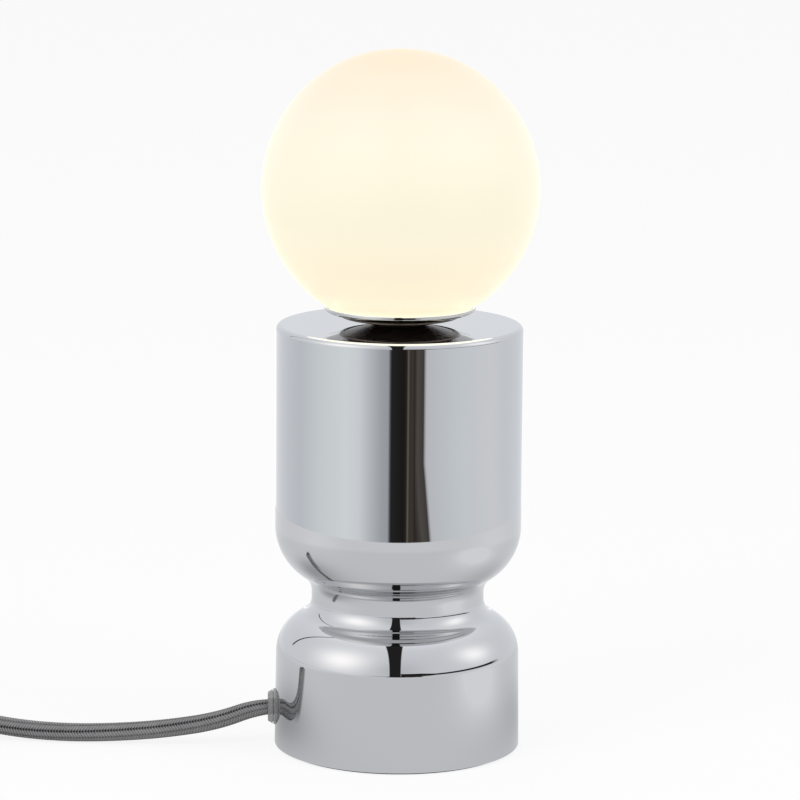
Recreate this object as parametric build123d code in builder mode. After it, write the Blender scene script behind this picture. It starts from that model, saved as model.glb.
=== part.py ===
from build123d import *
from math import acos, atan, cos, degrees, pi, radians, sin, sqrt, tan
import os

os.makedirs("parts", exist_ok=True)

# Table lamp: a turned and polished metal body with an opal glass globe.
# Millimetres, +Z up, origin on the table under the middle of the body.

# General fits
overrun = 2.0
running_gap = 0.05
body_gap = 0.3

# Felt pad
pad_thickness = 0.8
pad_inset = 2.0

# Body shell: spun sheet with a bell, a waist and a domed foot
body_radius = 45.0
body_top = 156.7
shell_wall = 1.2
top_edge_radius = 1.6
skirt_top = 35.15
skirt_draw = 0.45
dome_radius = 15.4
waist_fillet = 7.1
waist_radius = 31.55
waist_height = 2.4
bell_fillet = 7.85
bell_radius = 21.7
cord_angle = 183.0
lug_width = 10.0
lug_depth = 8.4
lug_height = 8.0
lug_sink = 0.6

# Base plate and its screws
plate_thickness = 2.2
base_screw_radius = 2.0
base_screw_head = 3.9
base_screw_length = 9.0
base_screw_count = 3

# Cast ballast
ballast_gap = 0.9
ballast_height = 21.0
ballast_well = 8.0
ballast_screw_radius = 2.5
ballast_screw_head = 4.6
ballast_screw_length = 14.0
ballast_screw_inset = 12.5
groove_gap = 0.2

# Cord, a flat twin whose twist sweeps a round of its widest side
cord_diameter = 6.8
cord_height = 14.1
cord_tail_inner = 12.0
cord_tail_inset = 2.0

# Clear cord bush
bush_reach = 2.5
bush_neck_radius = 5.0
bush_flange_radius = 6.65
bush_flange = 1.05
bush_groove_radius = 5.6
bush_groove = 0.25
bush_lip_radius = 6.2
bush_nose_radius = 5.3
bush_inner_radius = 6.2
bush_inner_flange = 1.4

# Cord grip on the ballast
grip_length = 26.0
grip_width = 8.0
grip_thickness = 3.0
grip_inset = 11.5
grip_screw_radius = 1.5
grip_screw_head = 2.8
grip_screw_rise = 2.0
grip_screw_depth = 8.0
grip_screw_spread = 19.0

# Terminal block
block_inset = 16.5
block_length = 18.0
block_width = 17.0
block_height = 8.0
tower_length = 14.0
tower_width = 6.6
tower_rise = 4.0
pole_spread = 8.0
pole_hole = 1.5
pole_height = 5.0
terminal_screw_radius = 1.3
terminal_screw_spread = 8.0
wire_diameter = 2.2
core_spread = 3.2
core_straight = 6.0
core_before = 2.0
core_in = 5.0
wire_out = 7.0

# Nipple, its nuts and washer
nipple_radius = 5.0
nipple_bore = 3.7
nipple_below = 9.0
nipple_above = 7.3
nut_flats = 14.0
nut_height = 4.0
washer_radius = 9.0
washer_thickness = 1.0

# Gallery cup
gallery_lip = 1.34
gallery_hub = 9.0
gallery_floor = 1.2
gallery_floor_radius = 11.2
gallery_flange_rise = 4.9
gallery_flange_radius = 26.4
gallery_rim_low = 5.8
gallery_rim_high = 7.4
gallery_wall = 1.2
gallery_ledge_inner = 22.0
gasket_thickness = 0.7
gasket_inner = 22.6
ledge_rise = 5.9

# Globe
globe_radius = 50.3
globe_wall = 2.8
globe_mouth = 26.26

# Sprung clips
clip_thickness = 0.5
clip_width = 5.0
clip_hub = 8.6
clip_start = 10.4
clip_count = 3
clip_gap = 0.4
clip_rise = 5.5
clip_bend = 1.5

# Lampholder and its bracket
bracket_thickness = 1.0
bracket_width = 14.0
bracket_half = 9.6
bracket_rise = 8.0
bracket_tab = 4.2
holder_radius = 8.8
holder_height = 22.0
holder_collar = 1.2
holder_collar_height = 5.0
holder_screw_radius = 1.25
holder_screw_head = 1.9
holder_screw_rise = 1.3
holder_screw_depth = 5.0
holder_screw_spread = 13.2
wire_spread = 3.2
wire_entry_depth = 4.0
slot_spread = 9.0
slot_length = 5.0
slot_depth = 12.0
slot_inner_gap = 0.5
slot_outer_gap = 1.2
contact_thickness = 0.4
contact_height = 9.0

# Bulb
pin_thickness = 0.8
pin_width = 2.4
pin_length = 9.5
bulb_seat = 0.3
bulb_base_radius = 7.6
bulb_base_height = 12.0
bulb_shoulder = 2.0
envelope_radius = 8.0
envelope_length = 36.0

# Inline switch
switch_start = (-166.0, -3.5)
switch_angle = 205.0
switch_length = 62.0
switch_width = 27.0
switch_split = 6.6
switch_top = 15.2
switch_corner = 9.0
switch_edge = 2.0
switch_wall = 1.6
switch_end_block = 10.0
cord_entry = 4.0
rocker_length = 12.6
rocker_width = 9.4
rocker_gap = 0.9
rocker_pivot_height = 11.2
rocker_rise = 4.4
rocker_drop = 2.6
rocker_dish = 0.8
rocker_tilt = 10.0
rocker_pin_radius = 1.0
rocker_boss = 2.5
switch_screw_radius = 1.25
switch_screw_head = 2.2
switch_screw_head_height = 1.5
switch_screw_length = 9.0
switch_screw_inset = 6.8

# Cord coil, tie and plug
coil_radius = 48.2
coil_pitch = 7.4
coil_rise = 7.45
coil_turns = 3.0486
tie_thickness = 0.8
tie_width = 10.0
tie_angle = -75.0
plug_angle = -9.0
plug_thickness = 13.7
plug_width = 35.3
plug_neck = 11.0
plug_shoulder = 17.0
plug_body_length = 35.0
plug_sleeve = 12.0
plug_sleeve_radius = 5.2
plug_sleeve_nose = 4.4
plug_corner = 3.0
plug_edge = 2.0
plug_pin_radius = 2.0
plug_pin_length = 19.0
plug_pin_spread = 18.6
plug_pin_tip = 0.8

# Runs of the cord that line up with what it enters or leaves
exit_run = 8.0
switch_in_run = 16.0
switch_out_run = 12.0
coil_out_run = 9.0
plug_in_run = 6.0
plug_ahead = 18.0
plug_aside = 20.0

# Widths that follow
pad_radius = body_radius - pad_inset
ballast_radius = body_radius - shell_wall - lug_depth - ballast_gap
ballast_screw_place = ballast_radius - ballast_screw_inset
grip_place = ballast_radius - grip_inset
block_place = ballast_radius - block_inset
cord_tail_outer = body_radius - cord_tail_inset
gallery_radius = globe_mouth + gallery_lip

# Heights that follow
plate_top = pad_thickness + plate_thickness
ballast_top = plate_top + ballast_height
seat_top = body_top + ledge_rise + gasket_thickness
globe_centre = seat_top + sqrt(globe_radius ** 2 - globe_mouth ** 2)
stack_top = body_top + gallery_floor + clip_thickness + bracket_thickness
holder_seat = stack_top - bracket_thickness + bracket_rise
holder_top = holder_seat + holder_height
bulb_floor = holder_top + bulb_seat
coil_low = tie_thickness + body_gap + cord_diameter / 2
coil_high = coil_low + coil_rise
cord_way = Vector(cos(radians(cord_angle)), sin(radians(cord_angle)), 0)
switch_way = Vector(cos(radians(switch_angle)), sin(radians(switch_angle)), 0)


def upright(way, spot=Vector(0, 0, 0)):
    # A standing plane with its x axis along a level way and its y axis up
    return Plane(spot, x_dir=way, z_dir=way.cross(Vector(0, 0, 1)))


def tangent_turn(step, first, second, lean=0.0):
    # Angle that two tangent arcs turn to step sideways, from a line that leans in, to a vertical one
    return degrees(acos((first * cos(lean) + second - step) / (first + second)))


def skirt_radius(height):
    # The skirt is drawn in a little from the pad up to its top
    return body_radius - skirt_draw * (height - pad_thickness) / (skirt_top - pad_thickness)


def body_outline(inset, foot, top):
    # The body's turned line, moved inwards by inset, from foot to top, closed on the axis
    lean = atan(skirt_draw / (skirt_top - pad_thickness))
    waist_turn = tangent_turn(body_radius - skirt_draw - waist_radius, dome_radius, waist_fillet, lean)
    bell_turn = tangent_turn(body_radius - waist_radius, bell_radius, bell_fillet)
    skirt = Line((skirt_radius(foot) - inset, foot), (skirt_radius(skirt_top) - inset, skirt_top))
    dome = JernArc(skirt @ 1, skirt % 1, dome_radius - inset, waist_turn - degrees(lean))
    hollow = JernArc(dome @ 1, dome % 1, waist_fillet + inset, -waist_turn)
    waist = Line(hollow @ 1, (hollow @ 1) + Vector(0, waist_height))
    flare = JernArc(waist @ 1, waist % 1, bell_fillet + inset, -bell_turn)
    bell = JernArc(flare @ 1, flare % 1, bell_radius - inset, bell_turn)
    wall = Line(bell @ 1, (body_radius - inset, top))
    Polyline(wall @ 1, (0, top), (0, foot), skirt @ 0)


def hexagon_nut(across_flats, height, bore, low, name):
    with BuildPart() as nut:
        with BuildSketch(Plane.XY.offset(low)):
            RegularPolygon(across_flats / 2, 6, major_radius=False)
            Circle(bore, mode=Mode.SUBTRACT)
        extrude(amount=height)
    nut.part.label = name
    return nut


def countersunk_screw(plane, head, shank, length):
    # Screw with its flat head flush in the plane, pointing along the plane's normal
    with BuildSketch(Plane(plane.origin, x_dir=plane.x_dir, z_dir=-plane.y_dir)) as half:
        with BuildLine():
            Polyline((0, 0), (head, 0), (shank, head - shank), (shank, length), (0, length), close=True)
        make_face()
    revolve(half.sketch, axis=Axis(plane.origin, plane.z_dir))


def round_screw(plane, head, rise, shank, depth):
    # Screw whose head stands on the plane and whose shank goes down from it
    with BuildSketch(plane) as head_round:
        Circle(head)
    extrude(head_round.sketch, amount=rise)
    with BuildSketch(plane) as shank_round:
        Circle(shank)
    extrude(shank_round.sketch, amount=-depth)


def corner_radii(points):
    # Each arc is as large as its two runs allow
    radii = []
    for before, here, after in zip(points, points[1:], points[2:]):
        arriving = Vector(here) - Vector(before)
        leaving = Vector(after) - Vector(here)
        turn = arriving.get_angle(leaving)
        shorter = min(arriving.length, leaving.length)
        radii.append(0.45 * shorter / tan(radians(turn / 2)))
    return radii


def run_tube(points, diameter):
    # A round tube along straight runs joined by tangent arcs
    radii = corner_radii(points)
    with BuildLine() as path:
        FilletPolyline(*points, radius=radii)
    route = path.wires()[0]
    with BuildSketch(Plane(route @ 0, z_dir=route % 0)) as section:
        Circle(diameter / 2)
    sweep(section.sketch, path=route)
    return route.length, radii


def tell_tube(name, part, diameter, length, radii):
    share = part.volume / (pi * diameter ** 2 / 4 * length)
    print(name, "length", round(length, 1), "volume over section x length", round(share, 4),
          "radii", [round(radius, 1) for radius in radii])


# Felt pad
with BuildPart() as felt_pad:
    with BuildSketch():
        Circle(pad_radius)
    extrude(amount=pad_thickness)
felt_pad.part.label = "felt_pad"

# Body shell with three tapped lugs for the base plate
lug_angles = [cord_angle + 60 + 360 * k / base_screw_count for k in range(base_screw_count)]
lug_centre = body_radius - shell_wall - lug_depth / 2
with BuildPart() as body_shell:
    with BuildSketch(Plane.XZ):
        with BuildLine():
            body_outline(0, pad_thickness, body_top)
        make_face()
    revolve(axis=Axis.Z)
    fillet(body_shell.edges().group_by(Axis.Z)[-1], top_edge_radius)
    with BuildSketch(Plane.XZ):
        with BuildLine():
            body_outline(shell_wall, pad_thickness - overrun, body_top - shell_wall)
        make_face()
    revolve(axis=Axis.Z, mode=Mode.SUBTRACT)
    with BuildSketch(Plane.XY.offset(body_top)):
        Circle(nipple_radius + running_gap)
    extrude(amount=-shell_wall - overrun, mode=Mode.SUBTRACT)
    for angle in lug_angles:
        lug_plane = Plane.XY.offset(plate_top).rotated((0, 0, angle))
        with BuildSketch(lug_plane):
            with Locations((lug_centre + lug_sink / 2, 0)):
                Rectangle(lug_depth + lug_sink, lug_width)
        extrude(amount=lug_height)
        with BuildSketch(lug_plane):
            with Locations((lug_centre, 0)):
                Circle(base_screw_radius + running_gap)
        extrude(amount=lug_height, mode=Mode.SUBTRACT)
    with BuildSketch(Plane(cord_way * body_radius + Vector(0, 0, cord_height), z_dir=cord_way)):
        Circle(bush_neck_radius + running_gap)
    extrude(amount=lug_depth, both=True, mode=Mode.SUBTRACT)
body_shell.part.label = "body_shell"

# Base plate, let into the shell's foot
ballast_screw_places = [(ballast_screw_place, cord_angle + 90), (ballast_screw_place, cord_angle - 90)]
with BuildPart() as base_plate:
    with BuildSketch(Plane.XY.offset(pad_thickness)):
        Circle(body_radius - shell_wall - body_gap)
    extrude(amount=plate_thickness)
    with Locations(Plane((0, 0, pad_thickness), x_dir=(1, 0, 0), z_dir=(0, 0, -1))):
        with PolarLocations(lug_centre, base_screw_count, start_angle=-lug_angles[0]):
            CounterSinkHole(base_screw_radius + running_gap, base_screw_head + running_gap,
                            plate_thickness + overrun, counter_sink_angle=90)
        with PolarLocations(ballast_screw_place, 2, start_angle=-(cord_angle + 90)):
            CounterSinkHole(ballast_screw_radius + running_gap, ballast_screw_head + running_gap,
                            plate_thickness + overrun, counter_sink_angle=90)
base_plate.part.label = "base_plate"

with BuildPart() as base_screws:
    for angle in lug_angles:
        spot = Vector(lug_centre * cos(radians(angle)), lug_centre * sin(radians(angle)), pad_thickness)
        countersunk_screw(Plane(spot), base_screw_head, base_screw_radius, base_screw_length)
base_screws.part.label = "base_screws"

# Ballast: an iron casting with a cord groove, a centre well and tapped holes
groove_floor = cord_height - cord_diameter / 2 - groove_gap
with BuildPart() as ballast_weight:
    with BuildSketch(Plane.XY.offset(plate_top)):
        Circle(ballast_radius)
    extrude(amount=ballast_height)
    groove_plane = Plane.XY.offset(groove_floor).rotated((0, 0, cord_angle))
    with BuildSketch(groove_plane):
        with Locations((ballast_radius / 2 + overrun / 2, 0)):
            Rectangle(ballast_radius + overrun, cord_diameter + 2 * groove_gap)
        Circle(ballast_well)
    extrude(amount=ballast_height, mode=Mode.SUBTRACT)
    for reach, angle in ballast_screw_places:
        spot = Vector(reach * cos(radians(angle)), reach * sin(radians(angle)), plate_top)
        with BuildSketch(Plane(spot)):
            Circle(ballast_screw_radius + running_gap)
        extrude(amount=ballast_screw_length, mode=Mode.SUBTRACT)
    grip_plane = Plane.XY.offset(ballast_top).rotated((0, 0, cord_angle))
    with BuildSketch(grip_plane):
        with Locations((grip_place, grip_screw_spread / 2), (grip_place, -grip_screw_spread / 2)):
            Circle(grip_screw_radius + running_gap)
    extrude(amount=-grip_screw_depth - body_gap, mode=Mode.SUBTRACT)
ballast_weight.part.label = "ballast_weight"

with BuildPart() as ballast_screws:
    for reach, angle in ballast_screw_places:
        spot = Vector(reach * cos(radians(angle)), reach * sin(radians(angle)), pad_thickness)
        countersunk_screw(Plane(spot), ballast_screw_head, ballast_screw_radius, ballast_screw_length)
ballast_screws.part.label = "ballast_screws"

# Clear cord bush: flange, groove and tapered nose outside, a barb flange inside
bush_axis = Axis((0, 0, cord_height), cord_way)
bush_profile_plane = upright(cord_way, Vector(0, 0, cord_height))
flange_back = skirt_radius(cord_height - bush_flange_radius) + running_gap
barb_wall = skirt_radius(cord_height + bush_inner_radius) - shell_wall
barb_face = sqrt(barb_wall ** 2 - bush_inner_radius ** 2) - running_gap
with BuildPart() as cord_bush:
    bore = cord_diameter / 2 + running_gap
    with BuildSketch(bush_profile_plane):
        with BuildLine():
            Polyline(
                (barb_face - bush_inner_flange, bore),
                (barb_face - bush_inner_flange, bush_neck_radius),
                (barb_face, bush_inner_radius),
                (barb_face, bush_neck_radius),
                (flange_back, bush_neck_radius),
                (flange_back, bush_flange_radius),
                (flange_back + bush_flange, bush_flange_radius),
                (flange_back + bush_flange, bush_groove_radius),
                (flange_back + bush_flange + bush_groove, bush_groove_radius),
                (flange_back + bush_flange + bush_groove, bush_lip_radius),
                (body_radius + bush_reach, bush_nose_radius),
                (body_radius + bush_reach, bore),
                close=True,
            )
        make_face()
    revolve(axis=bush_axis)
cord_bush.part.label = "cord_bush"

# End of the cord inside the body, from the bush's bore to the well
tail_start = cord_way * cord_tail_outer + Vector(0, 0, cord_height)
tail_end = cord_way * cord_tail_inner + Vector(0, 0, cord_height)
with BuildPart() as cord_tail:
    with BuildSketch(Plane(tail_start, z_dir=-cord_way)):
        Circle(cord_diameter / 2)
    extrude(amount=cord_tail_outer - cord_tail_inner)
cord_tail.part.label = "cord_tail"

# Cord grip: a bar with a tongue that presses the cord into its groove
with BuildPart() as cord_grip:
    with BuildSketch(grip_plane):
        with Locations((grip_place, 0)):
            RectangleRounded(grip_width, grip_length, grip_width / 4)
    extrude(amount=grip_thickness)
    with BuildSketch(grip_plane):
        with Locations((grip_place, 0)):
            Rectangle(grip_width, cord_diameter)
    extrude(amount=-(ballast_top - cord_height - cord_diameter / 2 - running_gap))
    with BuildSketch(grip_plane):
        with Locations((grip_place, grip_screw_spread / 2), (grip_place, -grip_screw_spread / 2)):
            Circle(grip_screw_radius + running_gap)
    extrude(amount=grip_thickness, mode=Mode.SUBTRACT)
cord_grip.part.label = "cord_grip"

with BuildPart() as cord_grip_screws:
    for side in (grip_screw_spread / 2, -grip_screw_spread / 2):
        head_plane = grip_plane.offset(grip_thickness)
        spot = head_plane.from_local_coords(Vector(grip_place, side, 0))
        round_screw(Plane(spot), grip_screw_head, grip_screw_rise, grip_screw_radius,
                    grip_thickness + grip_screw_depth)
cord_grip_screws.part.label = "cord_grip_screws"

# Terminal block: two towers with a wire hole along each and two screws on top
block_plane = Plane((block_place, 0, ballast_top))
pole_level = ballast_top + pole_height
tower_top = ballast_top + block_height + tower_rise
pole_places = [(0, pole_spread / 2), (0, -pole_spread / 2)]
screw_places = [(end * terminal_screw_spread / 2, side * pole_spread / 2)
                for end in (1, -1) for side in (1, -1)]
with BuildPart() as terminal_block:
    with BuildSketch(block_plane):
        RectangleRounded(block_length, block_width, block_height / 8)
    extrude(amount=block_height)
    with BuildSketch(block_plane.offset(block_height)):
        with Locations(*pole_places):
            RectangleRounded(tower_length, tower_width, tower_width / 4)
    extrude(amount=tower_rise)
    with BuildSketch(Plane.YZ.offset(block_place)):
        with Locations((pole_spread / 2, pole_level), (-pole_spread / 2, pole_level)):
            Circle(pole_hole)
    extrude(amount=block_length, both=True, mode=Mode.SUBTRACT)
    with BuildSketch(block_plane.offset(block_height + tower_rise)):
        with Locations(*screw_places):
            Circle(terminal_screw_radius + running_gap)
    extrude(amount=-(tower_top - pole_level), mode=Mode.SUBTRACT)
terminal_block.part.label = "terminal_block"

with BuildPart() as terminal_screws:
    screw_foot = pole_level + wire_diameter / 2 + running_gap
    with BuildSketch(Plane((block_place, 0, screw_foot))):
        with Locations(*screw_places):
            Circle(terminal_screw_radius)
    extrude(amount=tower_top - screw_foot - terminal_screw_radius)
terminal_screws.part.label = "terminal_screws"

# Inner wires: two cores from the cord to the block, two wires from the block to the lampholder
core_side = Vector(0, 0, 1).cross(cord_way) * (core_spread / 2)
live_start = tail_end - core_side
neutral_start = tail_end + core_side
core_at = block_place - block_length / 2 - core_before
core_middle = (core_at + core_straight - cord_tail_inner) / 2
wire_at = block_place + block_length / 2 + wire_out
core_route = [(core_middle, 3.2, 26.0), (core_at, 4.0, 29.0), (block_place - core_in, 4.0, 29.0)]
wire_route = [(block_place + core_in, 4.0, 29.0), (wire_at, 4.0, 29.0), (wire_at, 4.0, 43.0),
              (21.5, 3.4, 60.0), (8.0, 2.6, 92.0), (1.2, 1.9, 120.0), (0.0, 1.6, 142.0),
              (0.0, 1.6, 170.4)]


def mirrored(points):
    return [(x, -y, z) for x, y, z in points]


def wire(name, points):
    with BuildPart() as core:
        length, radii = run_tube(points, wire_diameter)
    core.part.label = name
    tell_tube(name, core.part, wire_diameter, length, radii)
    return core


live_core = wire("live_core", [live_start, live_start - cord_way * core_straight, *core_route])
neutral_core = wire("neutral_core", [neutral_start, neutral_start - cord_way * core_straight,
                                     *mirrored(core_route)])
live_wire = wire("live_wire", wire_route)
neutral_wire = wire("neutral_wire", mirrored(wire_route))

# Nipple with its washer and nuts
with BuildPart() as nipple:
    with BuildSketch(Plane.XY.offset(body_top - nipple_below)):
        Circle(nipple_radius)
        Circle(nipple_bore, mode=Mode.SUBTRACT)
    extrude(amount=nipple_below + nipple_above)
nipple.part.label = "nipple"

with BuildPart() as nipple_washer:
    with BuildSketch(Plane.XY.offset(body_top - shell_wall - washer_thickness)):
        Circle(washer_radius)
        Circle(nipple_radius + running_gap, mode=Mode.SUBTRACT)
    extrude(amount=washer_thickness)
nipple_washer.part.label = "nipple_washer"

nut_low = body_top - shell_wall - washer_thickness - nut_height
nipple_nut_lower = hexagon_nut(nut_flats, nut_height, nipple_radius + running_gap, nut_low, "nipple_nut_lower")
nipple_nut_upper = hexagon_nut(nut_flats, nut_height, nipple_radius + running_gap, stack_top, "nipple_nut_upper")

# Gallery: a shallow turned dish with an upright rim and a ledge for the gasket
flange_slope = gallery_flange_rise / (gallery_flange_radius - gallery_hub)
ledge_top = body_top + ledge_rise
ledge_foot = body_top + gallery_floor + flange_slope * (gallery_ledge_inner - gallery_floor_radius)
glass_drop = globe_centre - seat_top
rim_inner = gallery_radius - gallery_wall
rim_top = globe_centre - sqrt(globe_radius ** 2 - gallery_radius ** 2) - body_gap
rim_bevel = globe_centre - sqrt(globe_radius ** 2 - rim_inner ** 2) - body_gap
with BuildPart() as globe_gallery:
    with BuildSketch(Plane.XZ):
        with BuildLine():
            Polyline(
                (nipple_radius + running_gap, body_top),
                (gallery_hub, body_top),
                (gallery_flange_radius, body_top + gallery_flange_rise),
                (gallery_radius, body_top + gallery_rim_low),
                (gallery_radius, rim_top),
                (rim_inner, rim_bevel),
                (rim_inner, ledge_top),
                (gallery_ledge_inner, ledge_top),
                (gallery_ledge_inner, ledge_foot),
                (gallery_floor_radius, body_top + gallery_floor),
                (nipple_radius + running_gap, body_top + gallery_floor),
                close=True,
            )
        make_face()
    revolve(axis=Axis.Z)
globe_gallery.part.label = "globe_gallery"

with BuildPart() as globe_gasket:
    with BuildSketch(Plane.XY.offset(ledge_top)):
        Circle(rim_inner - running_gap)
        Circle(gasket_inner, mode=Mode.SUBTRACT)
    extrude(amount=gasket_thickness)
globe_gasket.part.label = "globe_gasket"

# Globe: a blown sphere with its mouth ground flat
inner_radius = globe_radius - globe_wall
mouth_inner = sqrt(inner_radius ** 2 - glass_drop ** 2)
with BuildPart() as globe_shade:
    with BuildSketch(Plane.XZ):
        with BuildLine():
            outer = ThreePointArc((globe_mouth, seat_top), (globe_radius, globe_centre),
                                  (0, globe_centre + globe_radius))
            crown = Line(outer @ 1, (0, globe_centre + inner_radius))
            inner = ThreePointArc(crown @ 1, (inner_radius, globe_centre), (mouth_inner, seat_top))
            Line(inner @ 1, outer @ 0)
        make_face()
    revolve(axis=Axis.Z)
globe_shade.part.label = "globe_shade"

# Sprung clips: a spider whose arms stand inside the globe's mouth and hold it
clip_level = body_top + gallery_floor + clip_thickness / 2
clip_outer = sqrt((mouth_inner - body_gap) ** 2 - (clip_width / 2) ** 2) - clip_thickness / 2
clip_foot = clip_outer - clip_bend
with BuildPart() as globe_clips:
    with BuildSketch(Plane.XY.offset(body_top + gallery_floor)):
        Circle(clip_hub)
        Circle(nipple_radius + running_gap, mode=Mode.SUBTRACT)
    extrude(amount=clip_thickness)
    for k in range(clip_count):
        arm_angle = 2 * pi * k / clip_count
        with BuildSketch(upright(Vector(cos(arm_angle), sin(arm_angle), 0))):
            with BuildLine():
                FilletPolyline(
                    (nipple_radius + clip_thickness, clip_level),
                    (clip_start, clip_level),
                    (clip_foot, clip_level + flange_slope * (clip_foot - gallery_floor_radius) + clip_gap),
                    (clip_outer, seat_top + globe_wall / 2),
                    (clip_foot, seat_top + clip_rise),
                    radius=clip_bend / 2,
                )
            trace(line_width=clip_thickness)
        extrude(amount=clip_width / 2, both=True)
globe_clips.part.label = "globe_clips"

# Lampholder bracket: a folded stirrup under the upper nut
bracket_low = stack_top - bracket_thickness
tab_level = holder_seat - bracket_thickness
with BuildPart() as lampholder_bracket:
    with BuildSketch(Plane.XZ):
        with BuildLine():
            Polyline((-bracket_half, bracket_low), (bracket_half, bracket_low), (bracket_half, holder_seat),
                     (bracket_half - bracket_tab, holder_seat), (bracket_half - bracket_tab, tab_level),
                     (bracket_half - bracket_thickness, tab_level),
                     (bracket_half - bracket_thickness, stack_top),
                     (bracket_thickness - bracket_half, stack_top),
                     (bracket_thickness - bracket_half, tab_level), (bracket_tab - bracket_half, tab_level),
                     (bracket_tab - bracket_half, holder_seat), (-bracket_half, holder_seat), close=True)
        make_face()
    extrude(amount=bracket_width / 2, both=True)
    with BuildSketch(Plane.XY.offset(bracket_low)):
        Circle(nipple_radius + running_gap)
    extrude(amount=bracket_thickness, mode=Mode.SUBTRACT)
    with BuildSketch(Plane.XY.offset(tab_level)):
        with Locations((holder_screw_spread / 2, 0), (-holder_screw_spread / 2, 0)):
            Circle(holder_screw_radius + running_gap)
    extrude(amount=bracket_thickness, mode=Mode.SUBTRACT)
lampholder_bracket.part.label = "lampholder_bracket"

# Ceramic lampholder with two contact slots
slot_inner = slot_spread / 2 - pin_thickness / 2 - slot_inner_gap
slot_outer = slot_spread / 2 + pin_thickness / 2 + slot_outer_gap
slot_middle = (slot_inner + slot_outer) / 2
with BuildPart() as lampholder_body:
    with BuildSketch(Plane.XY.offset(holder_seat)):
        Circle(holder_radius)
    extrude(amount=holder_height)
    with BuildSketch(Plane.XY.offset(holder_top - holder_collar_height)):
        Circle(holder_radius + holder_collar)
    extrude(amount=holder_collar_height)
    chamfer(lampholder_body.edges().group_by(Axis.Z)[-1], holder_collar / 2)
    with BuildSketch(Plane.XY.offset(holder_top)):
        with Locations((0, slot_middle), (0, -slot_middle)):
            Rectangle(slot_length, slot_outer - slot_inner)
    extrude(amount=-slot_depth, mode=Mode.SUBTRACT)
    with BuildSketch(Plane.XY.offset(holder_seat)):
        with Locations((holder_screw_spread / 2, 0), (-holder_screw_spread / 2, 0)):
            Circle(holder_screw_radius + running_gap)
    extrude(amount=holder_screw_depth, mode=Mode.SUBTRACT)
    with BuildSketch(Plane.XY.offset(holder_seat)):
        with Locations((0, wire_spread / 2), (0, -wire_spread / 2)):
            Circle(wire_diameter / 2 + running_gap)
    extrude(amount=wire_entry_depth, mode=Mode.SUBTRACT)
lampholder_body.part.label = "lampholder_body"

with BuildPart() as lampholder_screws:
    for side in (holder_screw_spread / 2, -holder_screw_spread / 2):
        head_plane = Plane((side, 0, tab_level), x_dir=(1, 0, 0), z_dir=(0, 0, -1))
        round_screw(head_plane, holder_screw_head, holder_screw_rise, holder_screw_radius,
                    bracket_thickness + holder_screw_depth - body_gap)
lampholder_screws.part.label = "lampholder_screws"

with BuildPart() as lampholder_contacts:
    with BuildSketch(Plane.XY.offset(holder_top - slot_depth)):
        for side in (1, -1):
            with Locations((0, side * (slot_outer - contact_thickness / 2))):
                Rectangle(slot_length - 2 * body_gap, contact_thickness)
    extrude(amount=contact_height)
lampholder_contacts.part.label = "lampholder_contacts"

# Bulb: base, two loop pins and a frosted capsule
with BuildPart() as bulb_base:
    with BuildSketch(Plane.XY.offset(bulb_floor)):
        Circle(bulb_base_radius)
    extrude(amount=bulb_base_height)
    chamfer(bulb_base.edges().group_by(Axis.Z)[0], bulb_shoulder / 2)
bulb_base.part.label = "bulb_base"

with BuildPart() as bulb_pins:
    for side in (1, -1):
        with BuildSketch(Plane.XZ.offset(side * slot_spread / 2)):
            with Locations((0, bulb_floor - pin_length / 2)):
                Rectangle(pin_width, pin_length)
        extrude(amount=pin_thickness / 2, both=True)
    fillet(bulb_pins.edges().filter_by(Axis.Y).group_by(Axis.Z)[0], pin_width / 3)
bulb_pins.part.label = "bulb_pins"

envelope_low = bulb_floor + bulb_base_height
with BuildPart() as bulb_envelope:
    with BuildSketch(Plane.XZ):
        with BuildLine():
            stem = Polyline((0, envelope_low), (bulb_base_radius, envelope_low),
                            (envelope_radius, envelope_low + bulb_shoulder),
                            (envelope_radius, envelope_low + envelope_length - envelope_radius))
            cap = JernArc(stem @ 1, stem % 1, envelope_radius, 90)
            Line(cap @ 1, stem @ 0)
        make_face()
    revolve(axis=Axis.Z)
bulb_envelope.part.label = "bulb_envelope"

# Inline switch, lying on the table with its cord holes on the joint of its two shells
switch_plane = Plane((switch_start[0], switch_start[1], 0), x_dir=switch_way, z_dir=(0, 0, 1))
middle = switch_length / 2
pocket_length = switch_length - 2 * switch_end_block
pocket_width = switch_width - 2 * switch_wall
screw_row = switch_width / 2 - switch_corner / 2
switch_screw_spots = [(switch_screw_inset, screw_row), (switch_length - switch_screw_inset, -screw_row)]


def cord_holes():
    # The blind holes that the cord's ends sit in, one at each end of the switch
    axis_start = switch_plane.from_local_coords(Vector(0, 0, switch_split))
    axis_end = switch_plane.from_local_coords(Vector(switch_length, 0, switch_split))
    for spot, way in ((axis_start, switch_way), (axis_end, -switch_way)):
        with BuildSketch(Plane(spot, z_dir=way)) as hole:
            Circle(cord_diameter / 2 + running_gap)
        extrude(hole.sketch, amount=cord_entry, mode=Mode.SUBTRACT)


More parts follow.
